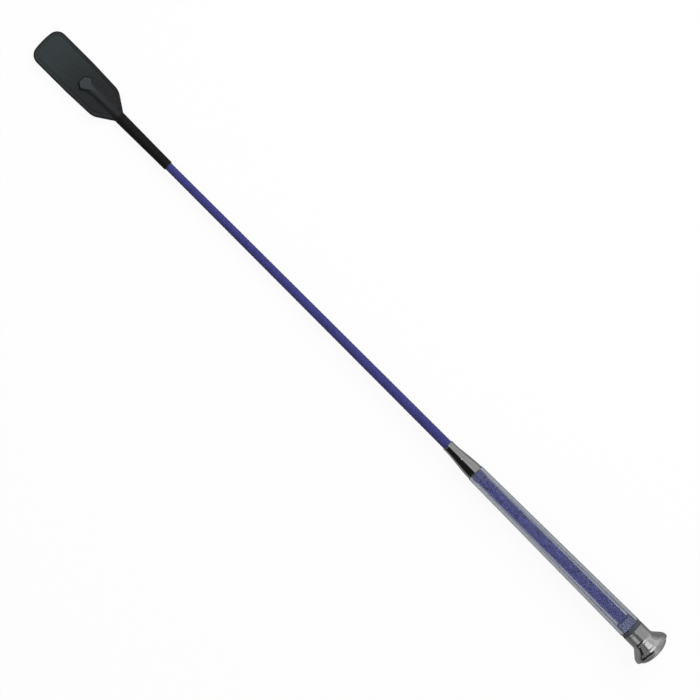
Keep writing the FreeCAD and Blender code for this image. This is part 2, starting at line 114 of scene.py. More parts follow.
def place(
    tree: bpy.types.NodeTree,
    kind: str,
    settings: dict[str, Any] | None = None,
    inputs: dict[str | int, Any] | None = None,
) -> bpy.types.Node:
    """Add a node with its settings and inputs.

    Args:
        tree: The tree to add to.
        kind: The node's type name.
        settings: Properties of the node by name.
        inputs: Values, fields or sockets by the input's name or number.

    Returns:
        The new node.
    """
    node = tree.nodes.new(kind)
    for name, value in (settings or {}).items():
        setattr(node, name, value)
    for name, item in (inputs or {}).items():
        feed(tree, node.inputs[name], item)
    return node


def add_object(name: str, data: Any) -> bpy.types.Object:
    """Put data into the scene as an object at the origin."""
    item = bpy.data.objects.new(name, data)
    bpy.context.scene.collection.objects.link(item)
    return item


class Field:
    """A number that flows through a node tree, with arithmetic written as operators."""

    def __init__(self, tree: bpy.types.NodeTree, socket: bpy.types.NodeSocket) -> None:
        """Wrap an output socket of a tree."""
        self.tree = tree
        self.socket = socket

    def math(self, operation: str, *items: Any) -> Field:
        """Combine values with one Math node.

        Args:
            operation: The Math node's operation.
            items: Fields or numbers, in the node's order.

        Returns:
            The node's result.
        """
        node = place(self.tree, "ShaderNodeMath", {"operation": operation}, dict(enumerate(items)))
        return Field(self.tree, node.outputs[0])

    def __add__(self, other: Any) -> Field:
        """Sum."""
        return self.math("ADD", self, other)

    def __radd__(self, other: Any) -> Field:
        """Sum with a plain number first."""
        return self.math("ADD", other, self)

    def __sub__(self, other: Any) -> Field:
        """Difference."""
        return self.math("SUBTRACT", self, other)

    def __rsub__(self, other: Any) -> Field:
        """Difference from a plain number."""
        return self.math("SUBTRACT", other, self)

    def __mul__(self, other: Any) -> Field:
        """Product."""
        return self.math("MULTIPLY", self, other)

    def __truediv__(self, other: Any) -> Field:
        """Quotient."""
        return self.math("DIVIDE", self, other)

    def __pow__(self, other: Any) -> Field:
        """Power."""
        return self.math("POWER", self, other)

    def __mod__(self, other: Any) -> Field:
        """Remainder that is never negative for a positive divisor."""
        return self.math("FLOORED_MODULO", self, other)

    def sin(self) -> Field:
        """Sine."""
        return self.math("SINE", self)

    def cos(self) -> Field:
        """Cosine."""
        return self.math("COSINE", self)

    def root(self) -> Field:
        """Square root."""
        return self.math("SQRT", self)

    def floor(self) -> Field:
        """Whole part."""
        return self.math("FLOOR", self)

    def size(self) -> Field:
        """Absolute value."""
        return self.math("ABSOLUTE", self)

    def low(self, other: Any) -> Field:
        """The smaller of two."""
        return self.math("MINIMUM", self, other)

    def high(self, other: Any) -> Field:
        """The larger of two."""
        return self.math("MAXIMUM", self, other)

    def ramp(self, start: float, end: float) -> Field:
        """Rise smoothly from 0 at start to 1 at end."""
        node = place(self.tree, "ShaderNodeMapRange", {"interpolation_type": "SMOOTHSTEP"},
                     {"Value": self, "From Min": start, "From Max": end})
        return Field(self.tree, node.outputs["Result"])

    def fall(self, start: float, end: float) -> Field:
        """Fall smoothly from 1 at start to 0 at end."""
        return 1.0 - self.ramp(start, end)

    def between(self, start: float, full: float, fade: float, end: float) -> Field:
        """Rise smoothly from start to full, and fall back from fade to end."""
        return self.ramp(start, full) * self.fall(fade, end)


def split(tree: bpy.types.NodeTree, vector: bpy.types.NodeSocket) -> tuple[Field, Field, Field]:
    """The three numbers of a vector socket."""
    node = place(tree, "ShaderNodeSeparateXYZ", inputs={0: vector})
    return tuple(Field(tree, socket) for socket in node.outputs)


def merge(tree: bpy.types.NodeTree, *parts: Any) -> bpy.types.NodeSocket:
    """A vector socket made of three numbers."""
    return place(tree, "ShaderNodeCombineXYZ", inputs=dict(enumerate(parts))).outputs[0]


# ---- shader node groups shared by several finishes -----------------------------------------------
class ShaderGroup:
    """A shader node group with named inputs and outputs, built once and placed in each material."""

    def __init__(self, name: str, inputs: dict[str, float], outputs: Sequence[str]) -> None:
        """Open a group.

        Args:
            name: The group's name.
            inputs: Number inputs with their defaults.
            outputs: Names of the number outputs.
        """
        self.tree = bpy.data.node_groups.new(name, "ShaderNodeTree")
        for label, value in inputs.items():
            socket = self.tree.interface.new_socket(label, in_out="INPUT", socket_type="NodeSocketFloat")
            socket.default_value = value
        self.tree.interface.new_socket("Vector", in_out="INPUT", socket_type="NodeSocketVector")
        for label in outputs:
            self.tree.interface.new_socket(label, in_out="OUTPUT", socket_type="NodeSocketFloat")
        self.source = self.tree.nodes.new("NodeGroupInput")
        self.sink = self.tree.nodes.new("NodeGroupOutput")

    def value(self, name: str) -> Field:
        """The number that comes in under a name."""
        return Field(self.tree, self.source.outputs[name])

    def vector(self) -> bpy.types.NodeSocket:
        """The vector that comes in."""
        return self.source.outputs["Vector"]

    def noise(self, scale: Any, detail: float = 3.0, vector: Any = None) -> Field:
        """A noise value over the incoming vector, or over another one."""
        node = place(self.tree, "ShaderNodeTexNoise", inputs={
            "Vector": vector or self.vector(), "Scale": scale, "Detail": detail})
        return Field(self.tree, node.outputs[0])

    def put(self, name: str, item: Field) -> None:
        """Send a field out under a name."""
        feed(self.tree, self.sink.inputs[name], item)


def build_thread_lay() -> bpy.types.NodeTree:
    """Yarns that lie side by side in a strand and are twisted from fine filaments.

    The vector is (across the strand from -1 to 1, along it in metres, the strand's number).

    Returns:
        The group's tree, with outputs Height, Shade and Fuzz.
    """
    group = ShaderGroup("thread_lay", {"Yarns": 4.0, "Twist": 900.0, "Depth": 1.0},
                        ("Height", "Shade", "Fuzz"))
    across, along, strand = split(group.tree, group.vector())
    yarn = (across * group.value("Yarns") * (math.pi / 2)).sin().size()
    ply = ((along * group.value("Twist") + across * group.value("Yarns") * 1.6) * math.tau).sin()
    stretched = merge(group.tree, across * 3.0, along * 400.0, strand * 7.3)
    fuzz = group.noise(2.0, 4.0, stretched)
    tone = group.noise(1.0, 1.0, merge(group.tree, strand * 3.7, along * 30.0, 0.0))
    patch = group.noise(1.0, 2.0, merge(group.tree, strand * 1.9, along * 150.0, across * 0.2))
    group.put("Height", (yarn ** 0.6 * 0.75 + ply * 0.12 + fuzz * 0.2) * group.value("Depth"))
    lit = yarn ** 0.5 * 0.5 + ply * 0.10 + 0.5
    group.put("Shade", lit * (tone * 0.5 + 0.75) * (patch.ramp(0.30, 0.70) * 0.5 + 0.72))
    group.put("Fuzz", fuzz)
    return group.tree


def build_leather_grain() -> bpy.types.NodeTree:
    """Pebbled grain with fine pores and long creases.

    Returns:
        The group's tree, with outputs Height and Shade.
    """
    group = ShaderGroup("leather_grain", {"Pebble": 900.0, "Crease": 90.0}, ("Height", "Shade"))
    cells = place(group.tree, "ShaderNodeTexVoronoi", {"feature": "F1"},
                  {"Vector": group.vector(), "Scale": group.value("Pebble")})
    pebble = Field(group.tree, cells.outputs["Distance"])
    pores = group.noise(group.value("Pebble") * 2.2, 2.0)
    along, across, up = split(group.tree, group.vector())
    long_way = merge(group.tree, along * 0.35, across, up)
    crease = group.noise(group.value("Crease"), 4.0, long_way)
    flat = (crease - 0.5).size().ramp(0.0, 0.05)
    group.put("Height", 1.0 - pebble * 0.9 + pores * 0.35 + flat * 0.15)
    group.put("Shade", 0.82 + (1.0 - pebble) * 0.22 + (pores - 0.5) * 0.25)
    return group.tree


def build_handling() -> bpy.types.NodeTree:
    """Marks of handling: cloudy smudges, and fine scratches that run round the piece.

    Returns:
        The group's tree, with outputs Smudge and Scratch.
    """
    group = ShaderGroup("handling", {"Cloud": 60.0, "Fine": 1500.0}, ("Smudge", "Scratch"))
    smudge = group.noise(group.value("Cloud"), 5.0)
    along, across, up = split(group.tree, group.vector())
    rings = merge(group.tree, along * group.value("Fine"), across * 14.0, up * 14.0)
    scratch = group.noise(1.0, 2.0, rings)
    group.put("Smudge", smudge.ramp(0.42, 0.72))
    group.put("Scratch", scratch.ramp(0.60, 0.78))
    return group.tree


def build_dust() -> bpy.types.NodeTree:
    """Sparse pale specks and lint.

    Returns:
        The group's tree, with output Speck.
    """
    group = ShaderGroup("dust", {"Scale": 700.0, "Amount": 0.3}, ("Speck",))
    fine = group.noise(group.value("Scale"), 2.0)
    broad = group.noise(group.value("Scale") * 0.06, 2.0)
    group.put("Speck", fine.ramp(0.70, 0.78) * broad.ramp(0.45, 0.75) * group.value("Amount"))
    return group.tree


class Library:
    """The shader groups, each built when it is first asked for."""

    _builders = {
        "thread_lay": build_thread_lay,
        "leather_grain": build_leather_grain,
        "handling": build_handling,
        "dust": build_dust,
    }
    _built: dict[str, bpy.types.NodeTree] = {}

    @classmethod
    def group(cls, name: str) -> bpy.types.NodeTree:
        """The group of that name."""
        if name not in cls._built:
            cls._built[name] = cls._builders[name]()
        return cls._built[name]


# ---- finishes ------------------------------------------------------------------------------------
class MaterialMaker:
    """One material's node tree, with the Principled shader at its end."""

    def __init__(self, name: str, **plain: Any) -> None:
        """Open a material.

        Args:
            name: The material's name.
            plain: Values set straight on the Principled shader's sockets, with _ for spaces.
        """
        self.material = bpy.data.materials.new(name)
        self.material.use_nodes = True
        self.tree = self.material.node_tree
        self.shader = self.tree.nodes["Principled BSDF"]
        for label, value in plain.items():
            self.shader.inputs[label.replace("_", " ")].default_value = value

    def object_place(self) -> bpy.types.NodeSocket:
        """Object coordinates, in metres."""
        return place(self.tree, "ShaderNodeTexCoord").outputs["Object"]

    def attribute(self, name: str, output: str = "Vector") -> bpy.types.NodeSocket:
        """A mesh attribute of the piece."""
        node = place(self.tree, "ShaderNodeAttribute", {"attribute_name": name})
        return node.outputs[output]

    def group(self, name: str, vector: Any, **values: float) -> dict[str, Field]:
        """Place a shared group.

        Args:
            name: The group's name in the library.
            vector: What its pattern follows.
            values: Its number inputs.

        Returns:
            Its outputs by name.
        """
        node = place(self.tree, "ShaderNodeGroup", {"node_tree": Library.group(name)},
                     {"Vector": vector, **values})
        return {socket.name: Field(self.tree, socket) for socket in node.outputs}

    def noise(self, scale: float, detail: float = 2.0) -> Field:
        """Noise over object coordinates."""
        node = place(self.tree, "ShaderNodeTexNoise",
                     inputs={"Vector": self.object_place(), "Scale": scale, "Detail": detail})
        return Field(self.tree, node.outputs[0])

    def mix(self, amount: Any, first: Any, second: Any) -> bpy.types.NodeSocket:
        """A colour between two.

        Args:
            amount: 0 for the first, 1 for the second.
            first: A colour or a colour socket.
            second: A colour or a colour socket.

        Returns:
            The mixed colour's socket.
        """
        node = place(self.tree, "ShaderNodeMix", {"data_type": "RGBA"}, {0: amount})
        for number, item in ((6, first), (7, second)):
            value = (*item, 1.0) if isinstance(item, tuple) else item
            feed(self.tree, node.inputs[number], value)
        return node.outputs[2]

    def set(self, label: str, item: Any) -> None:
        """Feed one of the Principled shader's sockets."""
        feed(self.tree, self.shader.inputs[label], item)

    def bump(self, height: Field, distance: float, strength: float = 1.0) -> None:
        """Raise the surface by a height field, in metres at strength 1."""
        node = place(self.tree, "ShaderNodeBump", inputs={
            "Height": height, "Distance": distance, "Strength": strength})
        self.set("Normal", node.outputs[0])


@dataclass(frozen=True)
class ThreadFinish:
    """Plaited, whipped or sewn thread, read from the strand's own attribute."""

    name: str
    colour: Colour
    shadow: Colour
    yarns: float = 4.0
    twist: float = 900.0
    depth: float = 0.06 * MM
    gloss: float = 0.55
    sheen: float = 0.2
    lint: Colour = (0.42, 0.42, 0.44)

    def material(self) -> bpy.types.Material:
        """Build the thread's material.

        Returns:
            The material.
        """
        maker = MaterialMaker(self.name, Sheen_Weight=self.sheen, Sheen_Roughness=0.4,
                              Specular_IOR_Level=0.45)
        lay = maker.group("thread_lay", maker.attribute("lay"), Yarns=self.yarns, Twist=self.twist)
        dust = maker.group("dust", maker.object_place(), Amount=0.25)
        thread = maker.mix(lay["Shade"], self.shadow, self.colour)
        maker.set("Base Color", maker.mix(dust["Speck"], thread, self.lint))
        maker.set("Roughness", lay["Fuzz"] * 0.25 + (self.gloss - 0.12))
        maker.bump(lay["Height"], self.depth)
        return maker.material


@dataclass(frozen=True)
class ShadeBedFinish:
    """Painted shade: a dark sleeve under the strands that stands for the shadow in the gaps between
    them.
    """

    name: str
    colour: Colour
    relief: float = 0.05 * MM

    def material(self) -> bpy.types.Material:
        """Build the painted shade's material.

        Returns:
            The material.
        """
        maker = MaterialMaker(self.name, Roughness=0.8)
        fibre = maker.noise(2500.0, 4.0)
        darker = tuple(part * 0.5 for part in self.colour)
        maker.set("Base Color", maker.mix(fibre, darker, self.colour))
        maker.bump(fibre, self.relief)
        return maker.material


@dataclass(frozen=True)
class LeatherFinish:
    """Dyed bridle leather: grained, burnished and darker at its edge, with painted light paler at the
    tip, on the ridge and the lozenge's top, and painted shade at the lozenge's foot.
    """

    name: str
    colour: Colour = (0.0108, 0.0120, 0.0140)
    # painted light: the paler colour painted towards the tip and along the ridge over the rod
    painted_light: Colour = (0.0270, 0.0375, 0.0392)
    edge: Colour = (0.0085, 0.0085, 0.0092)
    # painted highlight on the lozenge's top
    crest_highlight: Colour = (0.0400, 0.0460, 0.0500)
    dusty: Colour = (0.22, 0.22, 0.22)
    roughness: float = 0.46
    edge_start: float = 0.9 * MM
    edge_end: float = 2.2 * MM
    grain_depth: float = 0.07 * MM

    def material(self) -> bpy.types.Material:
        """Build the leather's material.

        Returns:
            The material.
        """
        maker = MaterialMaker(self.name, Specular_IOR_Level=0.5, Coat_Weight=0.10, Coat_Roughness=0.35)
        place_on = maker.object_place()
        grain = maker.group("leather_grain", place_on)
        marks = maker.group("handling", place_on, Cloud=70.0)
        dust = maker.group("dust", place_on, Amount=0.35)
        tip_light = Field(maker.tree, maker.attribute("tip_light", "Fac"))
        rim = Field(maker.tree, maker.attribute("inset", "Fac"))
        ridge = Field(maker.tree, maker.attribute("ridge", "Fac"))
        # painted light: the base colour is painted paler towards the tip and lighter along the ridge
        # over the rod, for light that the leather catches there
        body = maker.mix(tip_light + (marks["Smudge"] - 0.3) * 0.22, self.colour, self.painted_light)
        ridge_lit = maker.mix(ridge * 0.75, body, self.painted_light)
        # painted highlight on the lozenge's top (crest), and painted shade in the edge's dark colour at
        # the foot of its front
        crest = Field(maker.tree, maker.attribute("crest", "Fac"))
        foot = Field(maker.tree, maker.attribute("foot", "Fac"))
        raised = maker.mix(foot * 0.85, maker.mix(crest * 0.9, ridge_lit, self.crest_highlight), self.edge)
        shaded = maker.mix(1.0 - grain["Shade"], raised, self.edge)
        dyed = maker.mix(rim.fall(self.edge_start, self.edge_end), shaded, self.edge)
        maker.set("Base Color", maker.mix(dust["Speck"], dyed, self.dusty))
        maker.set("Roughness", self.roughness + marks["Smudge"] * 0.10 - ridge * 0.10)
        maker.bump(grain["Height"], self.grain_depth)
        return maker.material


@dataclass(frozen=True)
class ChromeFinish:
    """Bright plate with light smudges and hairline turning marks."""

    name: str
    colour: Colour = (0.80, 0.81, 0.80)
    smudged: Colour = (0.66, 0.67, 0.66)
    roughness: float = 0.07

    def material(self) -> bpy.types.Material:
        """Build the plate's material.

        Returns:
            The material.
        """
        maker = MaterialMaker(self.name, Metallic=1.0)
        marks = maker.group("handling", maker.object_place(), Cloud=110.0)
        maker.set("Base Color", maker.mix(marks["Smudge"], self.colour, self.smudged))
        maker.set("Roughness", marks["Smudge"] * 0.10 + marks["Scratch"] * 0.06 + self.roughness)
        maker.bump(marks["Scratch"], 0.004 * MM, 0.5)
        return maker.material


@dataclass(frozen=True)
class ClearFinish:
    """Clear or frosted plastic that has hazed a little, greyer where it is seen edge on."""

    name: str
    colour: Colour = (0.93, 0.94, 0.97)
    side: Colour = (0.190, 0.204, 0.250)
    roughness: float = 0.010
    clarity: float = 0.992

    def material(self) -> bpy.types.Material:
        """Build the plastic's material.

        Returns:
            The material.
        """
        maker = MaterialMaker(self.name, IOR=1.49, Transmission_Weight=self.clarity)
        marks = maker.group("handling", maker.object_place(), Cloud=45.0, Fine=700.0)
        facing = place(maker.tree, "ShaderNodeLayerWeight", inputs={"Blend": 0.5})
        glancing = Field(maker.tree, facing.outputs["Facing"]).ramp(0.0, 0.38)
        hazed = maker.mix(marks["Smudge"] * 0.12, self.colour, self.side)
        maker.set("Base Color", maker.mix(glancing, hazed, self.side))
        maker.set("Roughness", marks["Smudge"] * 0.02 + marks["Scratch"] * 0.015 + self.roughness)
        return maker.material


@dataclass(frozen=True)
class PlasticFinish:
    """Moulded plastic, rubber or bare rod: a fine even texture with slight mottling."""

    name: str
    colour: Colour
    roughness: float = 0.45
    texture: float = 1800.0
    relief: float = 0.02 * MM

    def material(self) -> bpy.types.Material:
        """Build the plastic's material.

        Returns:
            The material.
        """
        maker = MaterialMaker(self.name)
        marks = maker.group("handling", maker.object_place())
        fine = maker.noise(self.texture, 3.0)
        darker = tuple(part * 0.7 for part in self.colour)
        maker.set("Base Color", maker.mix(fine * 0.5 + marks["Smudge"] * 0.3, self.colour, darker))
        maker.set("Roughness", self.roughness + marks["Smudge"] * 0.12)
        maker.bump(fine, self.relief)
        return maker.material


@dataclass(frozen=True)
class GlintSteelFinish:
    """Steel, dulled in places, with fine lines round it, only partly metallic so that its pale colour
    shows as a painted glint.
    """

    name: str
    colour: Colour = (0.86, 0.87, 0.86)
    dull: Colour = (0.60, 0.61, 0.61)
    # painted glint: metal below 1 lets the pale base colour show under diffuse light like a glint
    metal: float = 0.45

    def material(self) -> bpy.types.Material:
        """Build the steel's material.

        Returns:
            The material.
        """
        maker = MaterialMaker(self.name, Metallic=self.metal)
        marks = maker.group("handling", maker.object_place(), Fine=5000.0)
        maker.set("Base Color", maker.mix(marks["Scratch"], self.colour, self.dull))
        maker.set("Roughness", marks["Smudge"] * 0.15 + 0.22)
        maker.bump(marks["Scratch"], 0.01 * MM)
        return maker.material


@dataclass(frozen=True)
class Finishes:
    """Every finish on the crop."""

    braid: ThreadFinish = ThreadFinish("royal_blue_plait", (0.045, 0.046, 0.226), (0.011, 0.011, 0.075),
                                       yarns=4.0, twist=700.0, depth=0.07 * MM, gloss=0.50, sheen=0.12)
    # painted shade under the plait and under the whipping
    braid_shade_bed: ShadeBedFinish = ShadeBedFinish("plait_shadow", (0.008, 0.008, 0.045))
    binding: ThreadFinish = ThreadFinish("waxed_black_thread", (0.008, 0.008, 0.0083),
                                         (0.003, 0.003, 0.0032), yarns=2.0, twist=1100.0,
                                         depth=0.05 * MM, gloss=0.52, sheen=0.0)
    binding_shade_bed: ShadeBedFinish = ShadeBedFinish("binding_shadow", (0.006, 0.006, 0.006))
    seam: ThreadFinish = ThreadFinish("black_seam_thread", (0.030, 0.031, 0.033), (0.010, 0.010, 0.011),
                                      yarns=2.0, twist=1500.0, depth=0.04 * MM, gloss=0.5, sheen=0.05)
    leather: LeatherFinish = LeatherFinish("black_leather")
    chrome: ChromeFinish = ChromeFinish("chrome_plate")
    clear: ClearFinish = ClearFinish("clear_grip_plastic")
    bush: ClearFinish = ClearFinish("frosted_bush_plastic", (0.24, 0.26, 0.62), (0.22, 0.24, 0.55),
                                    roughness=0.30, clarity=0.75)
    plug: PlasticFinish = PlasticFinish("plug_plastic", (0.128, 0.140, 0.265), 0.5)
    washer: PlasticFinish = PlasticFinish("washer_rubber", (0.068, 0.075, 0.086), 0.55)
    guard: PlasticFinish = PlasticFinish("guard_rubber", (0.022, 0.022, 0.023), 0.6)
    rod: PlasticFinish = PlasticFinish("glass_fibre_rod", (0.62, 0.60, 0.48), 0.4)
    # painted glint on the tack and the pin
    steel: GlintSteelFinish = GlintSteelFinish("tack_steel_glint")


# ---- outlines and meshes -------------------------------------------------------------------------
@dataclass(frozen=True)
class Corner:
    """A corner of an outline, the radius that rounds it, and how much of a side the arc may take."""

    along: float
    across: float
    rounding: float = 0.0
    share: float = 0.48

    def point(self) -> Vector:
        """The corner's place."""
        return Vector((self.along, self.across))


def rounded_path(corners: Sequence[Corner], closed: bool, parts: int = 5) -> list[Vector]:
    """Follow the corners, with an arc at each that has a radius.

    Args:
        corners: The corners in order.
        closed: Whether the last corner joins the first.
        parts: Straight pieces in each arc.

    Returns:
        The path's points.
    """
    path: list[Vector] = []
    last = len(corners) - 1
    for number, corner in enumerate(corners):
        here = corner.point()
        if corner.rounding <= 0 or (not closed and number in (0, last)):
            path.append(here)
            continue
        back = corners[number - 1].point() - here
        ahead = corners[(number + 1) % len(corners)].point() - here
        half_angle = back.angle(ahead) / 2
        room = corner.share * min(back.length, ahead.length)
        reach = min(corner.rounding / math.tan(half_angle), room)
        radius = reach * math.tan(half_angle)
        back.normalize()
        ahead.normalize()
        centre = here + (back + ahead).normalized() * radius / math.sin(half_angle)
        start = here + back * reach - centre
        sweep = start.angle_signed(here + ahead * reach - centre)
        for part in range(parts + 1):
            turn = Matrix.Rotation(-sweep * part / parts, 2)
            path.append(centre + turn @ start)
    return path


def sleeve(
    rear: float, front: float, rear_radius: float, front_radius: float, wall: float
) -> list[Corner]:
    """The outline of a plain sleeve.

    Args:
        rear: Where it starts.
        front: Where it ends.
        rear_radius: Its outer radius at the start.
        front_radius: Its outer radius at the end.
        wall: The thickness of its wall.

    Returns:
        Its four corners.
    """
    return [
        Corner(rear, rear_radius - wall),
        Corner(rear, rear_radius),
        Corner(front, front_radius),
        Corner(front, front_radius - wall),
    ]


def is_corner(span: Vector, neighbour: Vector) -> bool:
    """Whether a span ends in a corner or a small arc there, and not in a smooth run of like spans."""
    if neighbour.length < 1e-9 or neighbour.length < span.length / 3:
        return True
    return span.angle(neighbour) > math.radians(25)


def with_supports(path: Sequence[Vector], closed: bool, reach: float = 0.12 * MM) -> list[Vector]:
    """Add a point beside each corner of every long span, so that flat stretches shade flat.

    Args:
        path: The path's points.
        closed: Whether the last point joins the first.
        reach: How far from the corner the added point lies.

    Returns:
        The path with its added points.
    """
    count = len(path)
    spans = [path[(number + 1) % count] - point for number, point in enumerate(path)]
    result: list[Vector] = []
    for number, (point, span) in enumerate(zip(path, spans)):
        result.append(point)
        if number == count - 1 and not closed:
            break
        if span.length <= 4 * reach:
            continue
        step = span.normalized() * reach
        if is_corner(span, spans[number - 1]):
            result.append(point + step)
        if is_corner(span, spans[(number + 1) % count]):
            result.append(point + span - step)
    return result


def evenly(path: Sequence[Vector], spacing: float) -> list[Vector]:
    """An even number of points at even steps round a closed path.

    Args:
        path: The closed path's points.
        spacing: The wanted step.

    Returns:
        The new points.
    """
    spans = [(path[(n + 1) % len(path)] - point).length for n, point in enumerate(path)]
    count = 2 * max(4, round(sum(spans) / spacing / 2))
    step = sum(spans) / count
    result, travelled, number = [], 0.0, 0
    for index in range(count):
        while number < len(spans) - 1 and travelled + spans[number] <= index * step:
            travelled += spans[number]
            number += 1
        share = (index * step - travelled) / spans[number]
        result.append(path[number].lerp(path[(number + 1) % len(path)], min(max(share, 0.0), 1.0)))
    return result


def mesh_object(
    name: str,
    points: Sequence[Sequence[float]],
    faces: Sequence[Sequence[int]],
    material: bpy.types.Material,
    recalculate: bool = True,
) -> bpy.types.Object:
    """Make a smooth closed piece from points and faces.

    Args:
        name: The piece's name.
        points: Its vertices, in metres in the frame.
        faces: Its faces as numbers of vertices.
        material: Its finish.
        recalculate: Whether to turn all faces outwards.

    Returns:
        The piece's object, at the origin.
    """
    mesh = bpy.data.meshes.new(name)
    mesh.from_pydata([tuple(point) for point in points], [], [tuple(face) for face in faces])
    if recalculate:
        turn_outwards(mesh)
    mesh.materials.append(material)
    shade_smooth(mesh)
    return add_object(name, mesh)


def shade_smooth(mesh: bpy.types.Mesh) -> None:
    """Shade every face of a mesh smooth."""
    mesh.polygons.foreach_set("use_smooth", [True] * len(mesh.polygons))


@contextmanager
def editing(mesh: bpy.types.Mesh) -> Iterator[bmesh.types.BMesh]:
    """Open a mesh for editing and write it back at the end.

    Args:
        mesh: The mesh to edit.

    Yields:
        Its editable form.
    """
    work = bmesh.new()
    work.from_mesh(mesh)
    yield work
    work.to_mesh(mesh)
    work.free()


def turn_outwards(mesh: bpy.types.Mesh) -> None:
    """Point every face of a closed mesh outwards."""
    with editing(mesh) as work:
        bmesh.ops.recalc_face_normals(work, faces=work.faces)


def turned(
    name: str,
    corners: Sequence[Corner],
    material: bpy.types.Material,
    closed: bool = True,
    segments: int = 112,
    parts: int = 5,
) -> bpy.types.Object:
    """Turn an outline of (place along X, radius) about the X axis.

    Args:
        name: The piece's name.
        corners: The outline; an open one starts and ends on the axis.
        material: Its finish.
        closed: Whether the outline is a loop off the axis.
        segments: Steps round the axis.
        parts: Straight pieces in each rounded corner.

    Returns:
        The turned piece.
    """
    path = with_supports(rounded_path(corners, closed, parts), closed)
    points: list[tuple[float, float, float]] = []
    rings: list[list[int]] = []
    for along, radius in path:
        if radius < 1e-7:
            rings.append([len(points)] * segments)
            points.append((along, 0.0, 0.0))
            continue
        rings.append(list(range(len(points), len(points) + segments)))
        for step in range(segments):
            angle = math.tau * step / segments
            points.append((along, radius * math.cos(angle), radius * math.sin(angle)))
    faces = []
    pairs = zip(rings, rings[1:] + rings[:1]) if closed else zip(rings, rings[1:])
    for first, second in pairs:
        for step in range(segments):
            after = (step + 1) % segments
            loop = (first[step], first[after], second[after], second[step])
            faces.append(tuple(dict.fromkeys(loop)))
    return mesh_object(name, points, faces, material)


